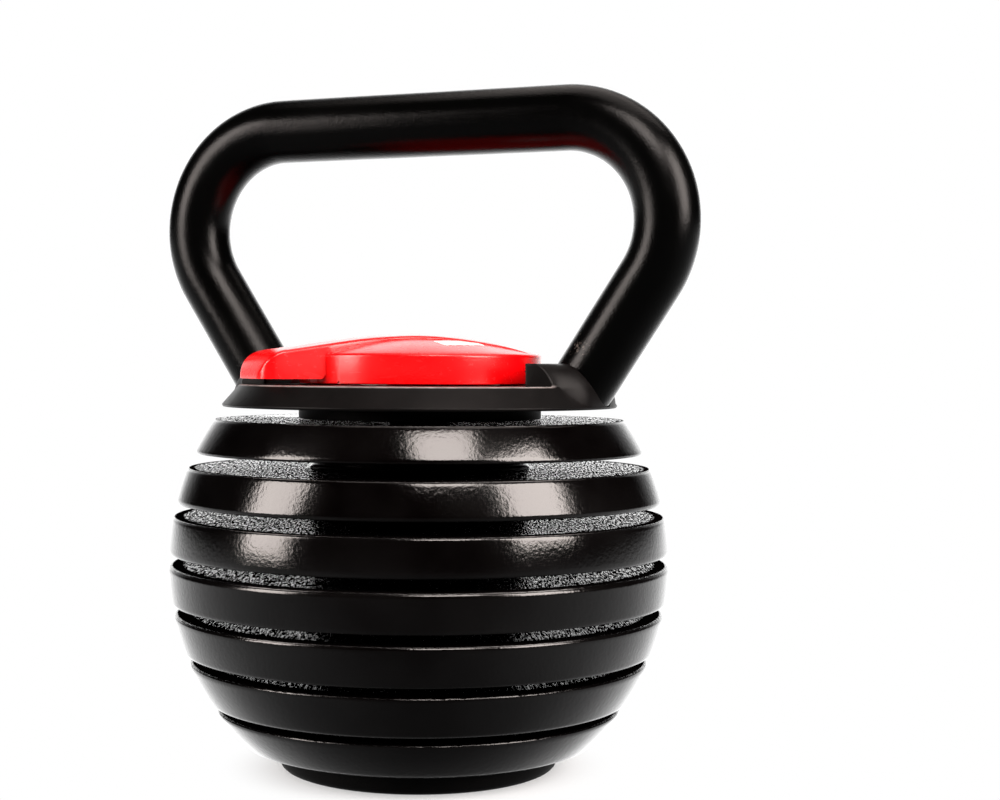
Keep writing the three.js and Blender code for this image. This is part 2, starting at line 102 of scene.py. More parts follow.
def feed(tree: Tree, node: Node, *values: Source, **named: Source) -> None:
    """Links a node's inputs, or sets them to constants.

    Args:
        tree: The node tree.
        node: The node that is fed.
        *values: What feeds its first inputs, in order: constants, sockets, or nodes by their first output.
        **named: The same for inputs by name, with _ for each space.
    """
    sources = {**dict(enumerate(values)), **{name.replace("_", " "): named[name] for name in named}}
    for key, source in sources.items():
        if isinstance(source, (Node, Socket)):
            tree.links.new(source.outputs[0] if isinstance(source, Node) else source, node.inputs[key])
        else:
            node.inputs[key].default_value = source


def add_node(tree: Tree, kind: str, *values: Source, **named: Source | str) -> Node:
    """Adds a shader node with its settings and links.

    Args:
        tree: The node tree that takes the node.
        kind: The node's type name, without ShaderNode in front.
        *values: What feeds its first inputs, as feed takes it.
        **named: Inputs by name, as feed takes them. A name in small letters is a setting instead.

    Returns:
        The new node.
    """
    node = tree.nodes.new("ShaderNode" + kind)
    for name in [name for name in named if name.islower()]:
        setattr(node, name, named.pop(name))
    feed(tree, node, *values, **named)
    return node


def set_stops(ramp: Node, *stops: tuple[float, str | float]) -> Node:
    """Sets a colour ramp's stops.

    Args:
        ramp: A colour ramp node.
        *stops: Positions in order, each with a hex colour or a linear grey.

    Returns:
        The ramp.
    """
    elements = ramp.color_ramp.elements
    while len(elements) < len(stops):
        elements.new(1.0)
    for element, (position, color) in zip(elements, stops):
        element.position = position
        element.color = linear(color) if isinstance(color, str) else grey(color)
    return ramp


# ---- Surfaces ----


def grid_faces(rows: int, columns: int, close_rows: bool, close_columns: bool) -> np.ndarray:
    """Quads of a grid of rows by columns of points, whose ends may join round.

    Args:
        rows: Number of rows.
        columns: Number of columns.
        close_rows: Whether the last row joins the first.
        close_columns: Whether the last column joins the first.

    Returns:
        An array of four point numbers for each quad.
    """
    row = np.arange(rows if close_rows else rows - 1)
    column = np.arange(columns if close_columns else columns - 1)
    i, j = (part.ravel() for part in np.meshgrid(row, column, indexing="ij"))
    next_i, next_j = (i + 1) % rows, (j + 1) % columns
    corners = [i * columns + j, i * columns + next_j, next_i * columns + next_j, next_i * columns + j]
    return np.stack(corners, axis=-1)


def finish_mesh(name: str, points: np.ndarray, faces: np.ndarray, caps: Iterable[Sequence[int]] = ()
                ) -> Piece:
    """Makes a closed, outward-facing mesh object from points in millimetres.

    Args:
        name: The object's name.
        points: Points as an array of any shape that ends in 3.
        faces: Quads by point number.
        caps: Further faces by point number, such as flat end faces.

    Returns:
        The linked object, with doubles merged and its edges over SHARP_ANGLE marked sharp.
    """
    mesh = bpy.data.meshes.new(name)
    polygons = faces.tolist() + [list(map(int, cap)) for cap in caps]
    mesh.from_pydata((points.reshape(-1, 3) * MM).tolist(), [], polygons)
    clean(mesh)
    piece = bpy.data.objects.new(name, mesh)
    bpy.context.scene.collection.objects.link(piece)
    return piece


def clean(mesh: bpy.types.Mesh) -> None:
    """Merges doubles, drops empty faces and loose edges, turns faces outward and shades smooth.

    Args:
        mesh: The mesh.
    """
    work = bmesh.new()
    work.from_mesh(mesh)
    bmesh.ops.remove_doubles(work, verts=work.verts, dist=SAME_POINT)
    bmesh.ops.dissolve_degenerate(work, edges=work.edges, dist=NO_EDGE)
    loose = [edge for edge in work.edges if not edge.link_faces]
    bmesh.ops.delete(work, geom=loose, context="EDGES")
    bmesh.ops.recalc_face_normals(work, faces=work.faces)
    work.to_mesh(mesh)
    work.free()
    mesh.shade_smooth()
    mesh.set_sharp_from_angle(angle=SHARP_ANGLE)


def soften(corners: Corners, steps: int = 5) -> np.ndarray:
    """Rounds the corners of a flat closed outline.

    Each corner becomes a parabola that starts and ends at the setback distance along its two sides:
    point(t) = (1-t)^2 before + 2t(1-t) corner + t^2 after.

    Args:
        corners: First coordinate, second coordinate and setback of each corner, in order round.
        steps: Segments in each rounded corner.

    Returns:
        The rounded outline as an array of points.
    """
    table = np.array(corners, float)
    tips, setbacks = table[:, :2], table[:, 2]
    before, after = np.roll(tips, 1, axis=0) - tips, np.roll(tips, -1, axis=0) - tips
    t = np.linspace(0, 1, steps + 1)[:, None]
    outline = []
    for tip, back, ahead, setback in zip(tips, before, after, setbacks):
        if setback <= 0:
            outline.append(tip[None, :])
            continue
        start = tip + back / np.linalg.norm(back) * setback
        end = tip + ahead / np.linalg.norm(ahead) * setback
        outline.append((1 - t) ** 2 * start + 2 * t * (1 - t) * tip + t ** 2 * end)
    return np.concatenate(outline)


def revolve(profile: np.ndarray, columns: int) -> np.ndarray:
    """Carries a profile of radius and height round the Z axis: (r cos a, r sin a, z) for every angle a."""
    angle = np.linspace(0, 2 * math.pi, columns, endpoint=False)[:, None]
    radius, height = profile[None, :, 0], profile[None, :, 1]
    return np.stack([radius * np.cos(angle), radius * np.sin(angle), height + 0 * angle], axis=-1)


def turned(name: str, corners: Corners, columns: int = 160, steps: int = 5) -> Piece:
    """Makes a turned body about Z from the corners of its outline: radius, height and setback."""
    profile = soften(corners, steps)
    return finish_mesh(name, revolve(profile, columns), grid_faces(columns, len(profile), True, True))


def lofted(name: str, x: np.ndarray, y: np.ndarray, z: np.ndarray) -> Piece:
    """Makes a solid from closed sections, one in each row, with flat faces over the first and last.

    Args:
        name: The object's name.
        x: X of the points, as rows of sections by columns of points.
        y: Y of the points.
        z: Z of the points.

    Returns:
        The solid.
    """
    rows, columns = x.shape
    ends = [range(columns), range((rows - 1) * columns, rows * columns)]
    return finish_mesh(name, np.stack([x, y, z], axis=-1), grid_faces(rows, columns, False, True), ends)


def glide(keys: Sequence[Sequence[float]], count: int) -> np.ndarray:
    """Draws a smooth line through key points: a Catmull-Rom spline, each span a cubic of its parameter.

    Args:
        keys: The points that the line goes through.
        count: Number of points along the line.

    Returns:
        The line's points.
    """
    knots = np.array(keys, float)
    padded = np.concatenate([2 * knots[:1] - knots[1:2], knots, 2 * knots[-1:] - knots[-2:-1]])
    way = np.linspace(0, len(knots) - 1, count)
    span = np.minimum(way.astype(int), len(knots) - 2)
    t = (way - span)[:, None]
    p0, p1, p2, p3 = (padded[span + i] for i in range(4))
    return 0.5 * (2 * p1 + (p2 - p0) * t + (2 * p0 - 5 * p1 + 4 * p2 - p3) * t ** 2
                  + (3 * p1 - p0 - 3 * p2 + p3) * t ** 3)


def place(piece: Piece, matrix: Matrix) -> Piece:
    """Moves a piece by moving its mesh, so that its object stays at the origin."""
    piece.data.transform(matrix)
    return piece


def moved(x: float, y: float, z: float) -> Matrix:
    """A shift in millimetres."""
    return Matrix.Translation((x * MM, y * MM, z * MM))


def spun(degrees: float, axis: str) -> Matrix:
    """A turn about an axis."""
    return Matrix.Rotation(math.radians(degrees), 4, axis)


class Cut(Enum):
    """How one solid changes another."""

    JOIN = "UNION"
    REMOVE = "DIFFERENCE"


def combine(body: Piece, tools: Sequence[tuple[Cut, Piece]]) -> Piece:
    """Joins solids to a body or cuts them from it, in order, and bakes the result into its mesh.

    Args:
        body: The solid that is changed.
        tools: How each further solid is used. They are removed afterwards.

    Returns:
        The body.
    """
    for cut, tool in tools:
        change = body.modifiers.new(cut.name, "BOOLEAN")
        change.operation = cut.value
        change.solver = "EXACT"
        change.object = tool
    shape = body.evaluated_get(bpy.context.evaluated_depsgraph_get())
    mesh = bpy.data.meshes.new_from_object(shape)
    body.modifiers.clear()
    body.data = mesh
    mesh.name = body.name
    for _, tool in tools:
        bpy.data.objects.remove(tool)
    clean(mesh)
    return body


def block(name: str, low: Sequence[float], high: Sequence[float]) -> Piece:
    """Makes a plain cutting block between two corners: the eight corner points and six faces.

    Args:
        name: The object's name.
        low: The corner with the lowest coordinates.
        high: The opposite corner.

    Returns:
        The block.
    """
    corners = np.array([[x, y, z] for x in (low[0], high[0]) for y in (low[1], high[1])
                        for z in (low[2], high[2])], float)
    faces = np.array([[0, 1, 3, 2], [4, 6, 7, 5], [0, 4, 5, 1], [2, 3, 7, 6], [0, 2, 6, 4], [1, 5, 7, 3]])
    return finish_mesh(name, corners, faces)


def rod(name: str, radius: float, length: float, columns: int = 48, setback: float = 0.0) -> Piece:
    """Makes a round rod along Z from z = 0, its ends rounded off by setback."""
    corners = [(0, 0, 0), (radius, 0, setback), (radius, length, setback), (0, length, 0)]
    return turned(name, corners, columns)


def paint(piece: Piece, material: bpy.types.Material) -> None:
    """Gives a new piece its one material."""
    piece.data.materials.clear()
    piece.data.materials.append(material)


def dress(piece: Piece, material: bpy.types.Material, body: str,
          nodes: Sequence[str] = ()) -> None:
    """Finishes a piece: its material, the body it rides on and the nodes it stands for.

    Args:
        piece: The finished piece.
        material: Its material.
        body: The CAD body it moves with.
        nodes: CAD nodes that it replaces.
    """
    paint(piece, material)
    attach(piece, body)
    if nodes:
        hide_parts(*nodes)
    log.info("%s: %d faces, rides on %s", piece.name, len(piece.data.polygons), body)


def smooth_step(values: np.ndarray, low: float, high: float) -> np.ndarray:
    """Smooth step from 0 at low to 1 at high: 3t^2 - 2t^3 of the share t of the way."""
    t = np.clip((values - low) / (high - low), 0, 1)
    return t * t * (3 - 2 * t)


def read_points(mesh: bpy.types.Mesh, field: str) -> np.ndarray:
    """Reads the place or the normal of every point of a mesh.

    Args:
        mesh: The mesh.
        field: "co" or "normal".

    Returns:
        One row of three numbers for each point.
    """
    values = np.empty(len(mesh.vertices) * 3, np.float32)
    mesh.vertices.foreach_get(field, values)
    return values.reshape(-1, 3)


def mark_cast_skin(piece: Piece, band_radius: float, shine: float = 1.0) -> None:
    """Stores where a casting keeps its rough skin, and how much of it still glints.

    "cast_skin" is a smooth step of the upright part of each point's normal. "glint" falls from
    shine to 0 about band_radius, outside which the plates rub each other dull.

    Args:
        piece: The casting.
        band_radius: Middle radius of the fall, in millimetres.
        shine: How much of the enamel's shine the skin's high spots have inside the band.
    """
    mesh = piece.data
    radius = np.hypot(*read_points(mesh, "co")[:, :2].T) / MM
    skin = smooth_step(np.abs(read_points(mesh, "normal")[:, 2]), 0.86, 0.98)
    glint = shine * (1 - smooth_step(radius, band_radius - BAND_FALL, band_radius + BAND_FALL))
    for name, values in (("cast_skin", skin), ("glint", glint)):
        layer = mesh.attributes.new(name, "FLOAT", "POINT")
        layer.data.foreach_set("value", values.astype(np.float32))


# ---- Finishes ----


@dataclass(frozen=True)
class Finish:
    """A surface finish that can build its material."""

    name: str
    color: str
    roughness: float
    sheen: float = 0.5

    def start(self) -> tuple[Tree, Node, Socket]:
        """Starts a material with the finish's colour, roughness and sheen.

        Returns:
            The node tree, its Principled shader and the object coordinates.
        """
        material = bpy.data.materials.new(self.name)
        material.use_nodes = True
        tree = material.node_tree
        shader = tree.nodes["Principled BSDF"]
        feed(tree, shader, Base_Color=linear(self.color), Roughness=self.roughness,
             Specular_IOR_Level=self.sheen)
        return tree, shader, add_node(tree, "TexCoord").outputs["Object"]

    def uneven(self, tree: Tree, pattern: Node, less: float, more: float) -> Node:
        """Spreads the roughness over a pattern, from less below the finish's own to more above it."""
        return add_node(tree, "MapRange", pattern, 0.3, 0.7, self.roughness - less, self.roughness + more)

    def material(self) -> bpy.types.Material:
        """Returns the finish's material, built once."""
        if self.name not in bpy.data.materials:
            self.build()
        return bpy.data.materials[self.name]

    def build(self) -> None:
        """Builds the material's nodes."""
        raise NotImplementedError


@dataclass(frozen=True)
class CastEnamel(Finish):
    """Black enamel sprayed over sand-cast iron: glossy orange peel on the rims, rough cast faces."""

    pooled: str = "#080707"
    peel_mm: float = 1.5
    tooth_mm: float = 0.7
    grain_mm: float = 0.62
    pit_mm: float = 2.2
    patch_mm: float = 28.0
    rough_skin: float = 0.09
    belt_stretch: float = 10.0
    belt_deg: float = 23.0

    def build(self) -> None:
        """Builds orange peel, cast grain on the flat faces, and a slightly uneven black."""
        tree, shader, where = self.start()
        skin = add_node(tree, "Attribute", attribute_name="cast_skin").outputs["Fac"]
        # Sprayed enamel levels badly on a big casting, so the eye sees a slow ripple in the highlights.
        peel = add_node(tree, "TexNoise", Vector=where, Scale=per_metre(self.peel_mm))
        waves = add_node(tree, "Bump", Height=peel, Strength=0.6, Distance=0.1 * MM)
        # Dust and dry spray leave a fine tooth on the gloss.
        tooth = add_node(tree, "TexNoise", Vector=where, Scale=per_metre(self.tooth_mm), Detail=3.0,
                         Roughness=0.6)
        fine = add_node(tree, "Bump", Height=tooth, Strength=0.6, Distance=0.05 * MM, Normal=waves)
        # A grinding belt took the faces' high spots off before spraying. It ran a little askew to the slot
        # and drew the sand grain out along its own way.
        rubbed = add_node(tree, "Mapping", Vector=where, Scale=(1.0, self.belt_stretch, 1.0),
                          Rotation=(0.0, 0.0, math.radians(self.belt_deg)), vector_type="TEXTURE")
        grain = add_node(tree, "TexNoise", Vector=rubbed, Scale=per_metre(self.grain_mm), Detail=4.0,
                         Roughness=0.6)
        pits = add_node(tree, "TexVoronoi", Vector=rubbed, Scale=per_metre(self.pit_mm), feature="SMOOTH_F1")
        rugged = add_node(tree, "Math", grain, pits, operation="ADD")
        cast = add_node(tree, "Math", rugged, skin, operation="MULTIPLY")
        sand = add_node(tree, "Bump", Height=cast, Strength=1.0, Distance=0.5 * MM, Normal=fine)
        patch = add_node(tree, "TexNoise", Vector=where, Scale=per_metre(self.patch_mm), Detail=3.0)
        black = set_stops(add_node(tree, "ValToRGB", patch), (0.3, self.color), (0.75, self.pooled))
        even = self.uneven(tree, patch, 0.0, 0.05)
        gloss = add_node(tree, "MapRange", skin, 0.0, 1.0, even, self.rough_skin)
        # The low spots of the sand skin hold dull dust, so only its high spots catch the light.
        high = add_node(tree, "MapRange", grain, 0.52, 0.61, 0.0, self.sheen)
        kept = add_node(tree, "Attribute", attribute_name="glint").outputs["Fac"]
        glints = add_node(tree, "Math", high, kept, operation="MULTIPLY")
        shine = add_node(tree, "MapRange", skin, 0.0, 1.0, self.sheen, glints)
        feed(tree, shader, Base_Color=black, Roughness=gloss, Specular_IOR_Level=shine, Normal=sand)


@dataclass(frozen=True)
class PowderCoat(Finish):
    """Black powder coat baked on steel tube: a fine pebble and a soft sheen, with faint rubs."""

    worn: str = "#55504C"
    pebble_mm: float = 0.8
    swell_mm: float = 6.0
    scratch_mm: float = 2.4
    wear_mm: float = 35.0
    scuff: Triple = (0.0708, -0.0107, 0.1675)

    def build(self) -> None:
        """Builds the pebble, the rubbed patches and one pale scuff."""
        tree, shader, where = self.start()
        # Melted powder flows into low swells a few millimetres wide, under a fine pebble.
        swell = add_node(tree, "TexNoise", Vector=where, Scale=per_metre(self.swell_mm), Detail=1.0)
        low = add_node(tree, "Bump", Height=swell, Strength=0.3, Distance=0.2 * MM)
        pebble = add_node(tree, "TexNoise", Vector=where, Scale=per_metre(self.pebble_mm), Detail=3.0,
                          Roughness=0.55)
        fine = add_node(tree, "Bump", Height=pebble, Strength=0.7, Distance=0.14 * MM, Normal=low)
        scratch = add_node(tree, "TexNoise", Vector=where, Scale=per_metre(self.scratch_mm), Detail=6.0,
                           Roughness=0.75)
        # A knock has left a pale scuff low on the right leg.
        apart = add_node(tree, "VectorMath", where, self.scuff, operation="DISTANCE").outputs["Value"]
        knocked = add_node(tree, "MapRange", apart, 0.012, 0.002, 0.0, 0.2)
        reach = add_node(tree, "Math", scratch, knocked, operation="ADD")
        rubbed = set_stops(add_node(tree, "ValToRGB", reach), (0.74, self.color), (0.8, self.worn))
        wear = add_node(tree, "TexNoise", Vector=where, Scale=per_metre(self.wear_mm), Detail=4.0)
        feed(tree, shader, Base_Color=rubbed, Roughness=self.uneven(tree, wear, 0.05, 0.06), Normal=fine)


@dataclass(frozen=True)
class MouldedPlastic(Finish):
    """Injection moulded plastic from a spark-eroded tool, with its colour slightly clouded."""

    cloud: str = "#000000"
    texture_mm: float = 0.8
    texture_depth_mm: float = 0.05
    flow_mm: float = 22.0
    streak_mm: float = 1.6
    # Painted highlight: a pale colour along one round edge, at this radius and height in mm, stands in for
    # the light that the rounded edge catches.
    painted_highlight_ring: tuple[float, float] | None = None
    painted_highlight_color: str = "#B8AEAC"
    highlight_patch_mm: float = 5.0

    def build(self) -> None:
        """Builds the tool texture, flow clouds, hair-fine handling marks and, where set, a painted highlight
        along one edge.
        """
        tree, shader, where = self.start()
        tool = add_node(tree, "TexNoise", Vector=where, Scale=per_metre(self.texture_mm), Detail=4.0,
                        Roughness=0.6)
        bump = add_node(tree, "Bump", Height=tool, Strength=0.5, Distance=self.texture_depth_mm * MM)
        flow = add_node(tree, "TexNoise", Vector=where, Scale=per_metre(self.flow_mm), Detail=3.0,
                        Distortion=0.6)
        color = set_stops(add_node(tree, "ValToRGB", flow), (0.35, self.color), (0.72, self.cloud))
        # Painted highlight: the plastic's colour is paled along one round edge.
        if self.painted_highlight_ring:
            color = self.paint_edge_highlight(tree, where, color)
        # Handling leaves long thin streaks, so the noise is drawn out along X.
        drawn = add_node(tree, "Mapping", Vector=where, Scale=(0.12, 1.0, 1.0))
        streaks = add_node(tree, "TexNoise", Vector=drawn, Scale=per_metre(self.streak_mm))
        marks = add_node(tree, "MapRange", streaks, 0.62, 0.75, 0.0, 0.12)
        gloss = add_node(tree, "Math", self.uneven(tree, flow, 0.03, 0.05), marks, operation="ADD")
        feed(tree, shader, Base_Color=color, Roughness=gloss, Normal=bump)

    def paint_edge_highlight(self, tree: Tree, where: Socket, color: Node) -> Node:
        """Paints a highlight along one round edge: a pale colour, in patches, stands in for the light that
        the rounded edge catches.

        Args:
            tree: The material's nodes.
            where: Object coordinates.
            color: The plastic's colour.

        Returns:
            The colour with the painted highlight on the edge.
        """
        radius, height = self.painted_highlight_ring
        axes = add_node(tree, "SeparateXYZ", where).outputs
        flat = add_node(tree, "VectorMath", where, (1, 1, 0), operation="MULTIPLY")
        out = add_node(tree, "VectorMath", flat, operation="LENGTH").outputs["Value"]
        spot = add_node(tree, "CombineXYZ", out, axes["Z"])
        apart = add_node(tree, "VectorMath", spot, (radius * MM, height * MM, 0), operation="DISTANCE")
        near = add_node(tree, "MapRange", apart.outputs["Value"], 0.0008, 0.0002)
        # The shoulders interrupt the edge.
        side = add_node(tree, "Math", axes["X"], operation="ABSOLUTE")
        clear = add_node(tree, "MapRange", side, 0.067, 0.0655, 0.0, 0.9)
        open_edge = add_node(tree, "Math", near, clear, operation="MULTIPLY")
        patchy = add_node(tree, "TexNoise", Vector=where, Scale=per_metre(self.highlight_patch_mm))
        share = add_node(tree, "Math", open_edge, patchy, operation="MULTIPLY")
        return add_node(tree, "MixRGB", share, color, linear(self.painted_highlight_color))


@dataclass(frozen=True)
class TurnedSteel(Finish):
    """Turned steel, zinc plated or blued: rings from the tool and a faint tint in the plating."""

    tint: str = "#B9B7A8"
    ring_mm: float = 0.6
    plating_mm: float = 9.0

    def build(self) -> None:
        """Builds the tool's rings along Z and the plating's tint."""
        tree, shader, where = self.start()
        flat = add_node(tree, "Mapping", Vector=where, Scale=(0.05, 0.05, 1.0))
        rings = add_node(tree, "TexNoise", Vector=flat, Scale=per_metre(self.ring_mm))
        bump = add_node(tree, "Bump", Height=rings, Strength=0.3, Distance=0.03 * MM)
        plating = add_node(tree, "TexNoise", Vector=where, Scale=per_metre(self.plating_mm), Detail=3.0)
        color = set_stops(add_node(tree, "ValToRGB", plating), (0.35, self.color), (0.7, self.tint))
        feed(tree, shader, Metallic=1.0, Base_Color=color, Roughness=self.uneven(tree, plating, 0.06, 0.08),
             Normal=bump)


@dataclass(frozen=True)
class MouldedRubber(Finish):
    """Moulded rubber: almost matt, dusty, with a fine tooth."""

    dust: str = "#1E1D1C"
    tooth_mm: float = 0.9
    film_mm: float = 14.0

    def build(self) -> None:
        """Builds the tooth and a light film of dust."""
        tree, shader, where = self.start()
        tooth = add_node(tree, "TexNoise", Vector=where, Scale=per_metre(self.tooth_mm), Detail=4.0)
        bump = add_node(tree, "Bump", Height=tooth, Strength=0.5, Distance=0.1 * MM)
        film = add_node(tree, "TexNoise", Vector=where, Scale=per_metre(self.film_mm), Detail=5.0)
        color = set_stops(add_node(tree, "ValToRGB", film), (0.4, self.color), (0.75, self.dust))
        feed(tree, shader, Base_Color=color, Normal=bump)


@dataclass(frozen=True)
class LabelFilm(Finish):
    """White printed film with plain grey bars and no words, under a clear gloss."""

    ink: str = "#8E9096"
    line_turns: float = 26.0
    breaks: float = 7.0
    margin: float = 0.1

    def build(self) -> None:
        """Builds grey bars across the label's own map, inside a white margin."""
        tree, shader, _ = self.start()
        layout = add_node(tree, "UVMap", uv_map="label")
        axes = add_node(tree, "SeparateXYZ", layout).outputs
        lines = add_node(tree, "Math", axes["Y"], self.line_turns, operation="MULTIPLY")
        wave = add_node(tree, "Math", lines, operation="SINE")
        bars = add_node(tree, "Math", wave, 0.35, operation="GREATER_THAN")
        blots = add_node(tree, "TexNoise", Vector=layout, Scale=self.breaks, Detail=0.0)
        broken = add_node(tree, "Math", blots, 0.47, operation="GREATER_THAN")
        side = add_node(tree, "Math", axes["X"], 0.5, operation="SUBTRACT")
        far = add_node(tree, "Math", side, operation="ABSOLUTE")
        inside = add_node(tree, "Math", far, 0.5 - self.margin, operation="LESS_THAN")
        inked = add_node(tree, "Math", bars, broken, operation="MULTIPLY")
        shown = add_node(tree, "Math", inked, inside, operation="MULTIPLY")
        color = set_stops(add_node(tree, "ValToRGB", shown), (0.0, self.color), (1.0, self.ink))
        feed(tree, shader, Base_Color=color)


CAST_ENAMEL = CastEnamel("black_enamel_on_sand_cast_iron", "#020101", 0.1)
DULL_ENAMEL = CastEnamel("black_primer_on_sand_cast_iron", "#020202", 0.5, 0.05, rough_skin=0.6)
POWDER_COAT = PowderCoat("black_powder_coat_baked_on_steel_tube", "#020202", 0.2, 0.14)
# The skirt's top edge, where the cone meets its floor, gets the painted highlight.
BLACK_PLASTIC = MouldedPlastic("black_polypropylene_spark_textured", "#080707", 0.4, 0.1, "#0D0B0B",
                               painted_highlight_ring=(71.8, 153.1))
RED_PLASTIC = MouldedPlastic("red_abs_moulded_satin", "#F2030A", 0.24, 0.45, "#F80508", 1.2, 0.03)
ZINC_STEEL = TurnedSteel("turned_steel_zinc_plated", "#C2C5C8", 0.3)
SPRING_STEEL = TurnedSteel("spring_steel_blued", "#5B6068", 0.36, tint="#6E675C")
BLACK_RUBBER = MouldedRubber("black_rubber_moulded", "#030303", 0.7, 0.1, "#060505")
LABEL_FILM = LabelFilm("white_polyester_label_film", "#E4E2E2", 0.32)
FLOOR_PAINT = Finish("painted_studio_floor", "#F2F2F2", 0.9)


# ---- Plates ----


@dataclass
class PlateStack:
    """Seven cast plates cut from one ball, with the keyhole slots of the six that slide off."""

    ball_radius: float = 100.0
    ball_centre: float = 82.5
    count: int = 7
    pitch: float = 19.15
    top_z: float = 139.4
    top_thickness: float = 13.3
    thickness_step: float = 0.55
    foot_height: float = 10.0
    hub_radius: float = 43.0
    column_radius: float = 12.0
    collar_radius: float = 18.0
    collar_height: float = 3.4
    clearance: float = 0.4
    pin_reach: float = 20.0
    pin_radius: float = 2.5
    pin_depth: float = 3.0
    dull_band: float = 2.5
    band_growth: float = 1.5
    clean_shine: float = 1.5
    dusting: float = 0.62
    lower_edge: float = 1.5
    upper_edge: float = 1.125
    keen_edge: float = 1.9
    hollow_inner: float = 49.0
    hollow_land: float = 13.0
    hollow_depth: float = 3.0

    def levels(self, k: int) -> tuple[float, float]:
        """Bottom and top of the rim of plate k, counted from the top.

        Args:
            k: The plate.

        Returns:
            The height of each.
        """
        top = self.top_z - self.pitch * (k - 1)
        if k == self.count:
            return self.foot_height, top
        return top - self.top_thickness - self.thickness_step * (k - 1), top

    def hub_top(self, k: int) -> float:
        """Top of plate k's hub, just under the plate above."""
        return self.top_z if k == 1 else self.levels(k - 1)[0] - GAP

    def pin_height(self, k: int) -> float:
        """Height of the pin that locks plate k."""
        return self.hub_top(k) - self.pin_depth

    def ball(self, z: np.ndarray | float) -> np.ndarray | float:
        """Radius of the ball at a height: the root of R^2 - (z - centre)^2."""
        return np.sqrt(self.ball_radius ** 2 - (z - self.ball_centre) ** 2)

    def band_radius(self, k: int) -> float:
        """Radius at which plate k's top face turns dull: the plates above bear harder lower down."""
        return self.ball(self.levels(k)[1]) - self.dull_band - self.band_growth * k

    def dress_casting(self, plate: Piece, k: int, body: str) -> None:
        """Marks plate k's cast skin, which is dustier lower down the stack, and enamels it."""
        mark_cast_skin(plate, self.band_radius(k), self.clean_shine * self.dusting ** max(0, k - 2))
        dress(plate, CAST_ENAMEL.material(), body, [f"plate_{k}"])

    def edges(self, k: int) -> tuple[float, float]:
        """Setback of the bottom and top edge: blunt corners wear rounder than keen ones.

        Args:
            k: The plate.

        Returns:
            The setback of each.
        """
        bottom, top = self.levels(k)
        middle = (bottom + top) / 2
        if middle > self.ball_centre:
            return self.keen_edge, self.upper_edge
        return self.lower_edge, self.keen_edge

    def rim(self, k: int) -> list[Triple]:
        """Outline of the rim from its top edge down to its bottom edge, as corners with setbacks.

        Args:
            k: The plate.

        Returns:
            The corners.
        """
        bottom, top = self.levels(k)
        low_edge, high_edge = self.edges(k)
        heights = np.linspace(top - high_edge - 0.6, bottom + low_edge + 0.6, 9)
        belly = [(self.ball(z), z, 0.0) for z in heights]
        return [(self.ball(top), top, high_edge), *belly, (self.ball(bottom), bottom, low_edge)]

    def outline(self, k: int, inner: list[Triple], hollow: bool) -> np.ndarray:
        """Closed outline of plate k.

        Args:
            k: The plate.
            inner: Corners from the underside round the bore to the hub's top.
            hollow: Whether a hollow ring below trims the weight.

        Returns:
            The outline as radius and height.
        """
        bottom, top = self.levels(k)
        hub = self.hub_top(k)
        corners = []
        if hub > top:
            corners += [(self.hub_radius, hub, 1.0), (self.hub_radius + 0.6, top, 1.8)]
        # Rings of points across the dull band's edge carry its fall.
        band = self.band_radius(k)
        corners += [(band + offset, top, 0) for offset in (-BAND_FALL, 0, BAND_FALL)]
        corners += self.rim(k)
        if hollow:
            outer = min(self.ball(bottom), self.ball(top)) - self.hollow_land
            roof = bottom + self.hollow_depth
            corners += [(outer, bottom, 0.8), (outer - 1, roof, 0.8),
                        (self.hollow_inner + 1, roof, 0.8), (self.hollow_inner, bottom, 0.8)]
        return soften(corners + inner, 4)

    def slotted(self, k: int) -> Piece:
        """Makes a plate with its keyhole slot, collar recess and pin pocket.

        The outline is carried round Z. At each outline point of radius r the sweep stops where it
        meets the slot's wall, at the angle asin(half width / r) either side of +Y. The half width is
        the collar's below the recess's ceiling and the column's above. The columns of points are
        bunched so that one runs along the pocket's straight wall. Flat faces close the slot's walls.

        Args:
            k: The plate.

        Returns:
            The plate.
        """
        bottom, _ = self.levels(k)
        hub = self.hub_top(k)
        neck = self.column_radius + self.clearance
        wide = self.collar_radius + self.clearance
        ceiling = bottom + self.collar_height + 2 * GAP
        reach = self.pin_reach + 2 * GAP
        floor = self.pin_height(k) - self.pin_radius - 0.5
        inner = [(wide, bottom, 0.4), (wide, ceiling, 0), (neck, ceiling, 0), (neck, hub, 0.4),
                 (reach, hub, 0), (reach, hub, 0)]
        radius, height = self.outline(k, inner, True).T
        # The outline starts at the hub's edge, so it is rolled to start at the bore's top.
        start = int(np.argmin(np.abs(radius - neck) + np.abs(height - ceiling))) + 1
        radius, height = np.roll(radius, -start), np.roll(height, -start)
        rim_step = int(np.argmax((height < ceiling) & (radius > self.hub_radius + 20)))
        step_radius = self.ball(ceiling)
        radius = np.insert(radius, rim_step, [step_radius, step_radius])
        height = np.insert(height, rim_step, [ceiling, ceiling])
        order = np.arange(len(radius))
        half_width = np.where(order > rim_step, wide, neck)
        half_width[-1] = neck
        # The pocket's floor lies under the outline from the bore out to the pin's reach.
        lowered = (order <= np.argmax(radius >= reach - HAIR)) & (height > floor)
        slot_angle = np.arcsin(np.minimum(1, half_width / radius))
        near, far = QUARTER + slot_angle, 5 * QUARTER - slot_angle
        wall = HALF_TURN + np.arcsin(np.minimum(1, (self.pin_radius + self.clearance) / radius))
        pocket = np.linspace(0, 1, 80)[:, None]
        rest = np.linspace(0, 1, 190)[:, None]
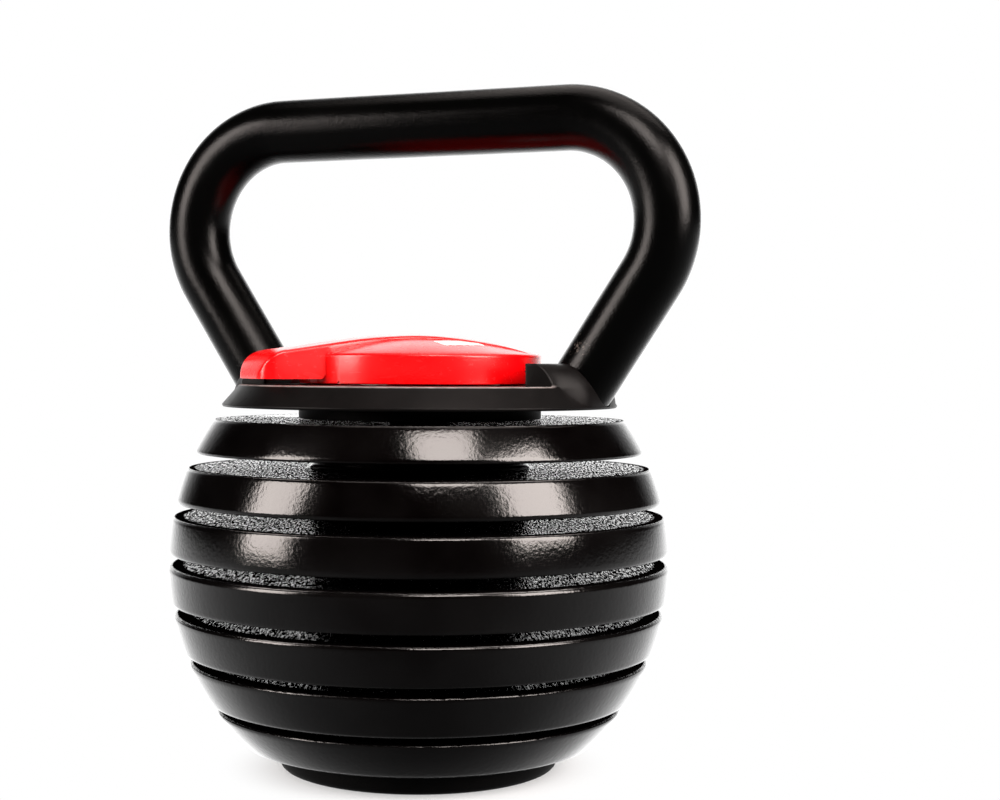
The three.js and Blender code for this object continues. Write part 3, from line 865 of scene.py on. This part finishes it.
        # Outside the pocket every ring uses the same angles, cut short where it meets the slot.
        outside = radius > reach + HAIR
        pocket_angle = np.where(outside, np.clip(QUARTER + QUARTER * pocket, near, far),
                                near + (wall - near) * pocket)
        rest_angle = np.where(outside, np.clip(HALF_TURN + 3 * QUARTER * rest, near, far),
                              wall + (far - wall) * rest)
        angle = np.concatenate([pocket_angle, rest_angle])
        z = np.concatenate([np.where(lowered, floor, height) + 0 * pocket_angle, height + 0 * rest_angle])
        points = np.stack([radius * np.cos(angle), radius * np.sin(angle), z], axis=-1)
        rows, columns = angle.shape
        caps = []
        for base in (0, (rows - 1) * columns):
            inside, beyond, last = base + rim_step, base + rim_step + 1, base + columns - 1
            caps += [[last, *range(base, beyond)], range(beyond, last), [inside, beyond, last - 1, last]]
        return finish_mesh(f"cast_plate_{k}", points, grid_faces(rows, columns, False, True), caps)

    def bottom_plate(self) -> Piece:
        """Makes the fixed bottom plate, with a seat for the column's flange and a bolt recess.

        Returns:
            The plate.
        """
        bore, recess, recess_top = 6.2, 22.0, 15.0
        seat, seat_z = self.collar_radius + GAP, 21.0
        inner = [(recess, self.foot_height, 0.6), (recess, recess_top, 0.6), (bore, recess_top, 0.3),
                 (bore, seat_z, 0.3), (seat, seat_z, 0.3), (seat, self.hub_top(self.count), 0.4)]
        outline = self.outline(self.count, inner, False)
        columns = 260
        faces = grid_faces(columns, len(outline), True, True)
        return finish_mesh(f"cast_plate_{self.count}", revolve(outline, columns), faces)

    def build(self) -> None:
        """Makes and dresses all seven plates."""
        for k in range(1, self.count):
            self.dress_casting(self.slotted(k), k, f"plate_{k}_body")
        self.dress_casting(self.bottom_plate(), self.count, "frame")


# ---- Handle ----


@dataclass
class Handle:
    """Bent tube: a straight grip, two bends and two legs that lean in towards the head."""

    height: float = 269.24
    width: float = 228.6
    tube_radius: float = 12.7
    wall: float = 2.5
    bend_radius: float = 40.3
    lean_deg: float = 33.1
    foot_z: float = 145.2
    ring_step: float = 1.5

    def centreline(self) -> tuple[np.ndarray, np.ndarray]:
        """Works out the bar's line in plane XZ.

        It is half a path, mirrored: the grip is level, the bend is an arc, and the leg is straight.

        Returns:
            Points along the line and the direction of travel at each, from the left foot to the right.
        """
        lean = math.radians(self.lean_deg)
        bar_z = self.height - self.tube_radius
        bend_x = self.width / 2 - self.tube_radius - self.bend_radius
        turn = np.linspace(0, QUARTER + lean, 46)
        grip_x = np.linspace(0, bend_x, 12, endpoint=False)
        grip = np.stack([grip_x, 0 * grip_x + bar_z], axis=-1)
        arc = np.stack([bend_x + self.bend_radius * np.sin(turn),
                        bar_z - self.bend_radius + self.bend_radius * np.cos(turn)], axis=-1)
        down = np.array([-math.sin(lean), -math.cos(lean)])
        leg_length = (arc[-1, 1] - self.foot_z) / math.cos(lean)
        leg = arc[-1] + np.linspace(0, leg_length, 14)[1:, None] * down
        along = np.concatenate([0 * grip_x, turn, np.full(len(leg), turn[-1])])
        right = np.concatenate([grip, arc, leg])
        heading = np.stack([np.cos(along), -np.sin(along)], axis=-1)
        left = right[:0:-1] * [-1, 1]
        left_heading = heading[:0:-1] * [1, -1]
        return np.concatenate([left, right]), np.concatenate([left_heading, heading])

    def skin(self, radius: float, sides: int = 72) -> np.ndarray:
        """Surface of the bar at a radius from its line.

        Each point is line + radius (cos a N + sin a Y), N square to the line in its plane. The rings
        at the two feet are slid along the bar until they lie level at the foot's height, and the next
        three rings until they clear it.

        Args:
            radius: Distance from the line.
            sides: Points round the bar.

        Returns:
            Points as rows along the bar by columns round it.
        """
        line, heading = self.centreline()
        a = np.linspace(0, 2 * math.pi, sides, endpoint=False)
        across = np.stack([-heading[:, 1], heading[:, 0]], axis=-1)
        x = line[:, :1] + radius * np.cos(a) * across[:, :1]
        z = line[:, 1:] + radius * np.cos(a) * across[:, 1:]
        y = radius * np.sin(a) + 0 * x
        for ring in range(4):
            for row in (ring, -1 - ring):
                low = self.foot_z + self.ring_step * ring
                lift = low - z[row] if ring == 0 else np.maximum(0, low - z[row])
                x[row] += lift * heading[row, 0] / heading[row, 1]
                z[row] += lift
        return np.stack([x, y, z], axis=-1)

    def foot_x(self) -> float:
        """X of the right leg's line at the foot's height."""
        return float(self.centreline()[0][-1, 0])

    def build(self) -> None:
        """Makes and dresses the tube: outer skin one way, inner skin back, joined at the feet."""
        inner = self.skin(self.tube_radius - self.wall)[::-1]
        points = np.concatenate([self.skin(self.tube_radius), inner])
        tube = finish_mesh("bent_tube_handle", points, grid_faces(*points.shape[:2], True, True))
        dress(tube, POWDER_COAT.material(), "frame", ["handle_tube"])


# ---- Skirt cover ----


@dataclass
class SkirtCover:
    """Black moulded cone under the lever, with a raised shoulder round each leg of the handle."""

    handle: Handle
    rim_radius: float = 78.8
    rim_z: float = 144.4
    top_radius: float = 65.0
    top_z: float = 161.8
    floor_z: float = 153.2
    wall: float = 3.2
    floor_thickness: float = 2.5
    opening: float = 34.0
    shoulder_x: float = 55.0
    shoulder_y: float = 28.0
    bulge: float = 4.2
    swell_y: float = 14.0
    screw_circle: float = 41.0
    leg_gap: float = 0.35

    def cone(self, z: np.ndarray | float) -> np.ndarray | float:
        """Radius of the cone at a height, a straight line from rim to top."""
        share = (z - self.rim_z) / (self.top_z - self.rim_z)
        return self.rim_radius + (self.top_radius - self.rim_radius) * share

    def ring(self) -> Piece:
        """Makes the thin cone and its floor.

        Returns:
            The cone, open at both ends.
        """
        under = self.floor_z - self.floor_thickness
        corners = [
            (self.opening, under, 0.3), (self.cone(under) - self.wall, under, 0.6),
            (self.rim_radius - self.wall, self.rim_z, 0.3), (self.rim_radius - 0.4, self.rim_z, 0.35),
            (self.rim_radius, self.rim_z + 0.9, 0.4), (self.cone(self.floor_z), self.floor_z, 0.7),
            (self.opening, self.floor_z, 0.4),
        ]
        return turned("skirt_cover_shell", corners, 300, 6)

    def shoulder(self, side: int) -> Piece:
        """Makes one shoulder: a block whose outer face follows the cone and swells round the leg.

        A closed section in plane XZ is carried along Y. Its outer radius is the cone's plus a small
        bulge above the floor, and near the leg it grows to a quarter ellipse from rim to top. Below
        the floor the section is only a skin on the cone's wall. The sections at both ends shrink
        along a quarter circle, which rounds the upright edges.

        Args:
            side: 1 for +X, -1 for -X.

        Returns:
            The shoulder.
        """
        edge = 0.8
        turn = np.linspace(0, QUARTER, 6)
        y_end = self.shoulder_y - edge * (1 - np.cos(turn))
        y_mid = np.linspace(-1, 1, 61)[1:-1] * (self.shoulder_y - edge)
        y = np.concatenate([-y_end, y_mid, y_end[::-1]])[:, None]
        inset = edge * (1 - np.sin(turn))
        inset = np.concatenate([inset, 0 * y_mid, inset[::-1]])[:, None]
        low = self.rim_z + 0.5
        lift = np.sin(np.linspace(0, QUARTER, 16))
        below = np.linspace(low, self.floor_z, 8, endpoint=False) + 0 * y
        z_out = np.concatenate([below, self.floor_z + (self.top_z - inset - self.floor_z) * lift], axis=1)
        crown = np.clip((z_out - self.floor_z) / (self.top_z - self.floor_z), 0, 1)
        bulge = self.bulge * (np.sqrt(1 - crown ** 2) - (1 - crown))
        rise = (z_out - self.rim_z) / (self.top_z - self.rim_z)
        full = self.top_radius + (self.rim_radius - self.top_radius) * np.sqrt(np.maximum(1 - rise ** 2, 0))
        plain = self.cone(z_out) + np.where(z_out > self.floor_z, bulge, -0.3)
        foot_y = self.shoulder_y - 1
        share = smooth_step(foot_y - np.abs(y), 0, foot_y - self.swell_y)
        radius = plain + (full - 0.1 - plain) * share
        x_out = np.sqrt(radius ** 2 - y ** 2) - inset
        shelf = self.floor_z - 2.0
        wall_x = [np.sqrt((self.cone(z) - self.wall / 2) ** 2 - y ** 2) for z in (shelf, low)]
        x_in = np.concatenate([self.shoulder_x + inset, self.shoulder_x + inset, *wall_x], axis=1)
        z_in = np.concatenate([self.top_z - inset, shelf + 0 * y, shelf + 0 * y, low + 0 * y], axis=1)
        x = np.concatenate([x_out, x_in], axis=1)
        z = np.concatenate([z_out, z_in], axis=1)
        return lofted("shoulder", side * x, y + 0 * x, z)

    def leg_bore(self, side: int) -> Piece:
        """Makes the cutter for one leg's hole: a rod along the leg, a hair wider than the tube.

        Args:
            side: 1 for +X, -1 for -X.

        Returns:
            The cutter.
        """
        handle = self.handle
        bore = place(rod("leg_bore", handle.tube_radius + self.leg_gap, 80, 96), moved(0, 0, -20))
        place(bore, spun(side * handle.lean_deg, "Y"))
        return place(bore, moved(side * handle.foot_x(), 0, handle.foot_z))

    def build(self) -> None:
        """Makes and dresses the cover, and the four screws' countersinks under the lever."""
        tools = [(Cut.JOIN, self.shoulder(1)), (Cut.JOIN, self.shoulder(-1)),
                 (Cut.REMOVE, self.leg_bore(1)), (Cut.REMOVE, self.leg_bore(-1))]
        for i in range(4):
            angle = QUARTER / 2 + i * QUARTER
            x, y = self.screw_circle * math.cos(angle), self.screw_circle * math.sin(angle)
            head = place(rod("countersink", 4.3, 5, 32), moved(x, y, self.floor_z - 1.6))
            shank = place(rod("screw_hole", 2.4, 6, 24), moved(x, y, self.floor_z - 4))
            tools += [(Cut.REMOVE, head), (Cut.REMOVE, shank)]
        cover = combine(self.ring(), tools)
        dress(cover, BLACK_PLASTIC.material(), "frame", ["skirt_cover"])


# ---- Lever knob ----


@dataclass
class LeverKnob:
    """Red lock lever: a shallow dome with a finger tab that sweeps over it as a raised crescent."""

    radius: float = 48.5
    bottom: float = 153.7
    edge_z: float = 165.1
    apex: float = 172.2
    wall: float = 3.5
    tab_end: float = 71.0
    tab_half: float = 17.0
    tab_under: float = 155.5
    tab_root: float = 43.0
    nose: float = 11.5
    corner: float = 6.0
    arm_edge: float = 1.3
    arm_sink: float = 2.2
    roof: float = 3.2
    boss_radius: float = 10.0
    boss_z: float = 158.4
    bore: float = 6.3
    bore_top: float = 166.5
    angle_deg: float = 225.0
    label_deg: float = 100.0

    def dome(self, radius: np.ndarray | float) -> np.ndarray | float:
        """Height of the dome: a parabola from the apex down to the disc's edge."""
        return self.apex - (self.apex - self.edge_z) * (radius / self.radius) ** 2

    def disc(self) -> Piece:
        """Makes the domed disc.

        Returns:
            The disc.
        """
        radii = np.linspace(self.radius - 1.6, 2, 16)
        crown = [(r, self.dome(r), 0.0) for r in radii]
        corners = [(0, self.bottom, 0), (self.radius - 0.2, self.bottom, 0.5),
                   (self.radius, self.edge_z - 0.1, 1.0), *crown, (0, self.apex, 0)]
        return turned("lever_knob_shell", corners, 220, 6)

    def crest(self, x: np.ndarray) -> np.ndarray:
        """Height of the arm's middle line at a distance along the tab, a smooth line through heights.

        Args:
            x: The distances.

        Returns:
            The heights.
        """
        keys = [(-48, 165.3), (-36, 168.2), (-22, 171.3), (0, 173.2), (20, 172.4), (40, 170.1), (52, 168.3),
                (59.5, 167.2)]
        line = glide(keys, 200)
        return np.interp(x, line[:, 0], line[:, 1])

    def arm(self) -> Piece:
        """Makes the arm: the tab and the crescent that sweeps over the dome to a point.

        Each row is a section between a near and a far border point. It goes up the near wall, over a
        rounded edge, across the top, over the far edge and down. The top's height is the crest's
        less a parabola across it, and the nose drops along a quarter circle.

        Returns:
            The arm, along +X.
        """
        root = self.tab_root
        fall = np.linspace(QUARTER, 0, 22, endpoint=False)
        nose_x = self.tab_end - self.nose + self.nose * np.sin(fall)
        tab_x = np.concatenate([nose_x, np.linspace(self.tab_end - self.nose, root, 10)])
        past_corner = np.clip(tab_x - (self.tab_end - self.corner), 0, self.corner)
        half = self.tab_half - self.corner + np.sqrt(self.corner ** 2 - past_corner ** 2)
        near_keys = [(root, 17), (30, 14.8), (17, 14.8), (4, 18.4), (-9, 24.4), (-21, 30.4), (-31.5, 33.8)]
        far_keys = [(root, -17), (30, -15.8), (17, -10.5), (4, -1), (-9, 9.5), (-21, 21), (-32.5, 32.6)]
        near = np.concatenate([np.stack([tab_x, half], axis=-1), glide(near_keys, 60)[1:]])
        far = np.concatenate([np.stack([tab_x, -half], axis=-1), glide(far_keys, 60)[1:]])
        width = np.linalg.norm(near - far, axis=1)[:, None]
        edge = np.minimum(self.arm_edge, width / 3)
        turn = np.linspace(0, QUARTER, 6)
        inset = np.concatenate([[0], 1 - np.cos(turn)])
        drop = np.concatenate([[0], 1 - np.sin(turn)])
        middle = np.linspace(0, 1, 16)[1:-1]
        share = np.concatenate([edge * inset / width, edge / width + (1 - 2 * edge / width) * middle,
                                (1 - edge * inset / width)[:, ::-1]], axis=1)
        fallen = np.concatenate([edge * drop, 0 * edge * middle, (edge * drop)[:, ::-1]], axis=1)
        x = near[:, :1] + (far[:, :1] - near[:, :1]) * share
        y = near[:, 1:] + (far[:, 1:] - near[:, 1:]) * share
        sag = (self.apex - self.edge_z) / self.radius ** 2
        flatness = np.clip((50 - x) / 30, 0.7, 1)
        top = self.crest(x) - sag * y ** 2 * flatness
        beyond = np.clip(x - (self.tab_end - self.nose), 0, self.nose)
        top -= self.nose - np.sqrt(np.maximum(self.nose ** 2 - beyond ** 2, 0))
        z = np.maximum(top - fallen, self.tab_under + GAP)
        on_dome = np.clip((root + 3 - x) / 4, 0, 1)
        under = self.tab_under + on_dome * (self.dome(np.hypot(x, y)) - self.arm_sink - self.tab_under)
        z[:, 0] = under[:, 0]
        z[:, -1] = under[:, -1]
        return lofted("arm", x, y, z)

    def cavity(self) -> Piece:
        """Makes the hollow below the dome, with the boss and bore for the key shaft left in it.

        Returns:
            The cutter.
        """
        inner = self.radius - self.wall
        roof = [(r, self.dome(r) - self.roof, 0) for r in (inner, 36, 26, 16, self.boss_radius)]
        corners = [(0, self.bottom - 2, 0), (inner, self.bottom - 2, 0), *roof,
                   (self.boss_radius, self.boss_z, 0), (self.bore, self.boss_z, 0),
                   (self.bore, self.bore_top, 0), (0, self.bore_top, 0)]
        return turned("cavity", corners)

    def label(self) -> Piece:
        """Makes the label: a thin sheet on the dome, its own map running 0 to 1 each way.

        Points run over a rounded rectangle in plan, squared from a disc, at the dome's height.

        Returns:
            The label, along +X.
        """
        centre, half_deep, half_wide = 28.9, 4.8, 9.2
        u, v = np.meshgrid(np.linspace(-1, 1, 33), np.linspace(-1, 1, 25), indexing="ij")
        squeeze = 0.06
        x = centre + half_deep * v * (1 - squeeze * u ** 8)
        y = half_wide * u * (1 - squeeze * v ** 8)
        top = np.stack([x, y, self.dome(np.hypot(x, y)) + 0.16], axis=-1)
        low = top - [0, 0, 0.22]
        rows, columns = u.shape
        count = rows * columns
        faces = grid_faces(rows, columns, False, False)
        ring = [*range(columns), *(i * columns + columns - 1 for i in range(1, rows)),
                *((rows - 1) * columns + j for j in range(columns - 2, -1, -1)),
                *(i * columns for i in range(rows - 2, 0, -1))]
        walls = [[a, b, b + count, a + count] for a, b in zip(ring, ring[1:] + ring[:1])]
        points = np.concatenate([top.reshape(-1, 3), low.reshape(-1, 3)])
        sides = np.concatenate([faces, faces[:, ::-1] + count])
        sheet = finish_mesh("knob_label_film", points, sides, walls)
        mesh = sheet.data
        corners = np.empty(len(mesh.loops), np.int32)
        mesh.loops.foreach_get("vertex_index", corners)
        places = read_points(mesh, "co")[corners] / MM
        across = (places[:, 1] + half_wide) / (2 * half_wide)
        up = (places[:, 0] - centre + half_deep) / (2 * half_deep)
        layer = mesh.uv_layers.new(name="label")
        layer.data.foreach_set("uv", np.stack([across, up], axis=-1).astype(np.float32).ravel())
        return sheet

    def build(self) -> None:
        """Makes and dresses the knob and its label, turned to where the tab points at rest."""
        half = self.tab_half - self.wall
        tab_hollow = block("tab_hollow", (51, -half, 150), (self.tab_end - 5, half, 163))
        gate = place(rod("gate_mark", 0.9, 6, 24), spun(90, "Y"))
        place(gate, moved(self.radius - 0.7, 0, self.bottom + 0.2))
        place(gate, spun(29, "Z"))
        screw_hole = place(rod("screw_hole", 2.6, 8, 24), spun(90, "Y"))
        place(screw_hole, moved(-self.radius - 2, 0, 160.5))
        knob = combine(self.disc(), [
            (Cut.JOIN, self.arm()), (Cut.REMOVE, self.cavity()), (Cut.REMOVE, tab_hollow),
            (Cut.REMOVE, gate), (Cut.REMOVE, screw_hole)])
        place(knob, spun(self.angle_deg, "Z"))
        dress(knob, RED_PLASTIC.material(), "lock", ["lever_knob"])
        label = place(self.label(), spun(self.angle_deg + self.label_deg, "Z"))
        dress(label, LABEL_FILM.material(), "lock", ["knob_label"])


# ---- Column, pins, spacer, foot and hidden hardware ----


@dataclass
class Core:
    """What the plates hang on: the centre column with its collars, the lock pins and the foot."""

    stack: PlateStack
    column_foot: float = 21.3
    column_top: float = 154.0
    bore: float = 6.2
    foot_radius: float = 56.0
    foot_inner: float = 34.0
    spacer_radius: float = 48.5
    spacer_top: float = 144.9
    pin_tail: float = 5.6

    def column(self) -> Piece:
        """Makes the column: a turned body with a flange and six collars, and a window for each pin.

        Returns:
            The column.
        """
        stack = self.stack
        radius, collar = stack.column_radius, stack.collar_radius
        flange = stack.hub_top(stack.count) - 0.4
        corners = [(self.bore, self.column_foot, 0.3), (collar, self.column_foot, 0.4),
                   (collar, flange, 0.4), (radius, flange, 0.3)]
        for k in range(stack.count - 1, 0, -1):
            low = stack.levels(k)[0] + GAP
            high = low + stack.collar_height
            corners += [(radius, low, 0.25), (collar, low, 0.4), (collar, high, 0.4), (radius, high, 0.25)]
        corners += [(radius, self.column_top, 0.6), (self.bore, self.column_top, 0.3)]
        column = turned("collared_centre_column", corners, 96, 3)
        side = stack.pin_radius + GAP
        pins = [stack.pin_height(k) for k in range(1, stack.count)]
        windows = [block("window", (-30, -side, z - side), (side, 30, z + side)) for z in pins]
        return combine(column, [(Cut.REMOVE, window) for window in windows])

    def pin(self, k: int) -> Piece:
        """Makes one lock pin: a rod with rounded ends, pointing along +Y at rest.

        Args:
            k: The plate that it locks.

        Returns:
            The pin.
        """
        length = self.stack.pin_reach + self.pin_tail
        pin = rod(f"round_lock_pin_{k}", self.stack.pin_radius, length, 40, 0.5)
        place(pin, spun(-90, "X"))
        return place(pin, moved(0, -self.pin_tail, self.stack.pin_height(k)))

    def build(self) -> None:
        """Makes and dresses column, pins, spacer and foot ring."""
        dress(self.column(), ZINC_STEEL.material(), "frame", ["centre_column"])
        for k in range(1, self.stack.count):
            dress(self.pin(k), ZINC_STEEL.material(), "lock", [f"lock_pin_{k}"])
        low = self.stack.top_z + GAP
        inner = self.stack.column_radius + GAP
        spacer = turned("cast_hub_spacer", [
            (inner, low, 0.3), (self.spacer_radius, low, 0.6), (self.spacer_radius, self.spacer_top, 0.6),
            (inner, self.spacer_top, 0.3)])
        mark_cast_skin(spacer, self.spacer_radius)
        dress(spacer, DULL_ENAMEL.material(), "frame", ["hub_spacer"])
        top = self.stack.foot_height - GAP
        groove = (self.foot_radius + self.foot_inner) / 2
        foot = turned("rubber_foot_ring", [
            (self.foot_inner, 0, 0.8), (groove - 2, 0, 0.5), (groove - 1.4, 1.4, 0.4),
            (groove + 1.4, 1.4, 0.4), (groove + 2, 0, 0.5), (self.foot_radius, 0, 4.5),
            (self.foot_radius, top, 0.5), (self.foot_inner, top, 0.5)], 220)
        dress(foot, BLACK_RUBBER.material(), "frame", ["foot_ring"])


@dataclass(frozen=True)
class Hardware:
    """Hidden hardware that keeps its CAD meshes and gets its finishes."""

    zinc: tuple[str, ...] = ("head_plate", "column_flange", "key_shaft", "base_washer", "base_bolt")
    zinc_rows: tuple[str, ...] = ("hub_bolt", "cover_screw")
    spring: tuple[str, ...] = ("thrust_washer", "wave_washer", "retaining_clip", "knob_set_screw")

    def build(self) -> None:
        """Assigns the finishes to the nodes' material slots."""
        rows = [f"{name}_{i}" for name in self.zinc_rows for i in range(1, 5)]
        for names, finish in (((*self.zinc, *rows), ZINC_STEEL), (self.spring, SPRING_STEEL)):
            for name in names:
                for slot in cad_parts[name].material_slots:
                    slot.material = finish.material()
                log.info("%s: finished as %s", name, finish.name)


# ---- Studio ----


@dataclass(frozen=True)
class SoftBox:
    """A rectangular soft light, aimed at the object's middle."""

    name: str
    azimuth_deg: float
    elevation_deg: float
    distance: float
    width: float
    height: float
    watts: float


@dataclass(frozen=True)
class Studio:
    """Pale floor, white surroundings, soft boxes and the camera."""

    camera_place: Triple = (0.2846, -0.6485, 0.1618)
    camera_yaw_deg: float = 22.28
    camera_pitch_deg: float = 87.51
    camera_roll_deg: float = 0.29
    lens_mm: float = 63.54
    shift: tuple[float, float] = (0.0365, 0.040)
    floor_reach: float = 6.0
    floor_scale: float = 3.0
    aim_z: float = 0.13
    backdrop: float = 2.1
    lamp_color: Triple = (1.0, 0.9, 0.85)
    boxes: tuple[SoftBox, ...] = (
        SoftBox("left_box", -69, 18, 1.3, 0.52, 0.78, 17),
        SoftBox("right_box", 58, 26, 1.3, 0.64, 0.84, 26),
        SoftBox("top_front_box", 17, 50, 1.3, 0.56, 0.56, 14),
        SoftBox("overhead_box", 150, 72, 1.6, 1.4, 1.4, 9),
    )

    def camera(self) -> None:
        """Sets up the camera."""
        data = bpy.data.cameras.new("camera")
        data.lens = self.lens_mm
        data.sensor_width = 36
        data.shift_x, data.shift_y = self.shift
        data.clip_start = 0.01
        data.clip_end = 50
        eye = bpy.data.objects.new("camera", data)
        aim = spun(self.camera_yaw_deg, "Z") @ spun(self.camera_pitch_deg, "X")
        eye.matrix_world = Matrix.Translation(self.camera_place) @ aim @ spun(self.camera_roll_deg, "Z")
        bpy.context.scene.collection.objects.link(eye)
        bpy.context.scene.camera = eye

    def floor(self) -> None:
        """Makes the pale floor, a wide flat disc."""
        rings = np.array([0.0, 0.2, 0.6, 1.6, self.floor_reach]) / MM
        profile = np.stack([rings, 0 * rings - 0.02], axis=-1)
        floor = finish_mesh("studio_floor", revolve(profile, 96), grid_faces(96, len(rings), True, False))
        floor.data.flip_normals()
        tree, shader, where = FLOOR_PAINT.start()
        mottle = add_node(tree, "TexNoise", Vector=where, Scale=self.floor_scale)
        color = set_stops(add_node(tree, "ValToRGB", mottle), (0.0, FLOOR_PAINT.color), (1.0, "#F6F6F6"))
        feed(tree, shader, Base_Color=color)
        # The floor takes a shadow near the object and runs out into even white further off.
        reach = add_node(tree, "VectorMath", where, operation="LENGTH").outputs["Value"]
        fade = add_node(tree, "MapRange", reach, 0.03, 0.08, interpolation_type="SMOOTHSTEP")
        white = add_node(tree, "Emission", Color=grey(1.0))
        mixed = add_node(tree, "MixShader", fade, shader, white)
        feed(tree, tree.nodes["Material Output"], Surface=mixed)
        paint(floor, bpy.data.materials[FLOOR_PAINT.name])
        floor.visible_glossy = False

    def surroundings(self) -> None:
        """Sets the room: white to the eye, and for reflections white behind the object, dark in front."""
        world = bpy.data.worlds.new("studio")
        bpy.context.scene.world = world
        world.use_nodes = True
        tree = world.node_tree
        direction = add_node(tree, "TexCoord").outputs["Generated"]
        height = add_node(tree, "SeparateXYZ", direction).outputs["Z"]
        yaw = math.radians(self.camera_yaw_deg)
        behind = add_node(tree, "VectorMath", direction, (-math.sin(yaw), math.cos(yaw), 0),
                          operation="DOT_PRODUCT").outputs["Value"]
        turn = add_node(tree, "MapRange", behind, -1.0, 1.0)
        # The backdrop glows only behind the object; the lit floor also shows at the sides.
        wall = set_stops(add_node(tree, "ValToRGB", turn), (0.0, 0.0), (0.84, 0.004), (0.91, 0.25),
                         (0.967, 1.0))
        around = set_stops(add_node(tree, "ValToRGB", turn), (0.08, 0.03), (0.23, 0.10), (0.52, 0.23),
                           (0.69, 0.38), (0.85, 0.68), (0.94, 1.0))
        # The object shades the floor close underneath it.
        shade = add_node(tree, "MapRange", height, -1.0, -0.5, 0.15, 1.0)
        shades = add_node(tree, "CombineXYZ", shade, shade, shade)
        ground = add_node(tree, "VectorMath", around, shades, operation="MULTIPLY")
        above = add_node(tree, "MapRange", height, -0.06, 0.05)
        room = add_node(tree, "MixRGB", above, ground, wall)
        seen = add_node(tree, "LightPath").outputs["Is Camera Ray"]
        final = add_node(tree, "MixRGB", seen, room, grey(1.0 / self.backdrop))
        feed(tree, tree.nodes["Background"], Color=final, Strength=self.backdrop)

    def lights(self) -> None:
        """Hangs the soft boxes on circles round the object, measured from the camera's side."""
        for box in self.boxes:
            data = bpy.data.lights.new(box.name, "AREA")
            data.shape = "RECTANGLE"
            data.size, data.size_y = box.width, box.height
            data.energy = box.watts
            data.color = self.lamp_color
            turn = spun(self.camera_yaw_deg + box.azimuth_deg, "Z") @ spun(90 - box.elevation_deg, "X")
            lamp = bpy.data.objects.new(box.name, data)
            lamp.matrix_world = (Matrix.Translation((0, 0, self.aim_z)) @ turn
                                 @ Matrix.Translation((0, 0, box.distance)))
            bpy.context.scene.collection.objects.link(lamp)
            log.info("%s: %.0f W", box.name, box.watts)

    def build(self) -> None:
        """Sets up camera, floor, surroundings and lights."""
        self.camera()
        self.floor()
        self.surroundings()
        self.lights()
        bpy.context.scene.view_settings.view_transform = "Standard"


# ---- Assembly ----


def main() -> None:
    """Builds the studio and the kettlebell's sub-assemblies in order."""
    logging.basicConfig(level=logging.INFO, format="%(name)s: %(message)s", stream=sys.stdout)
    handle = Handle()
    stack = PlateStack()
    parts = [Studio(), stack, handle, SkirtCover(handle), LeverKnob(), Core(stack), Hardware()]
    for part in parts:
        part.build()
        log.info("%s built", type(part).__name__)


if __name__ == "__main__":
    main()
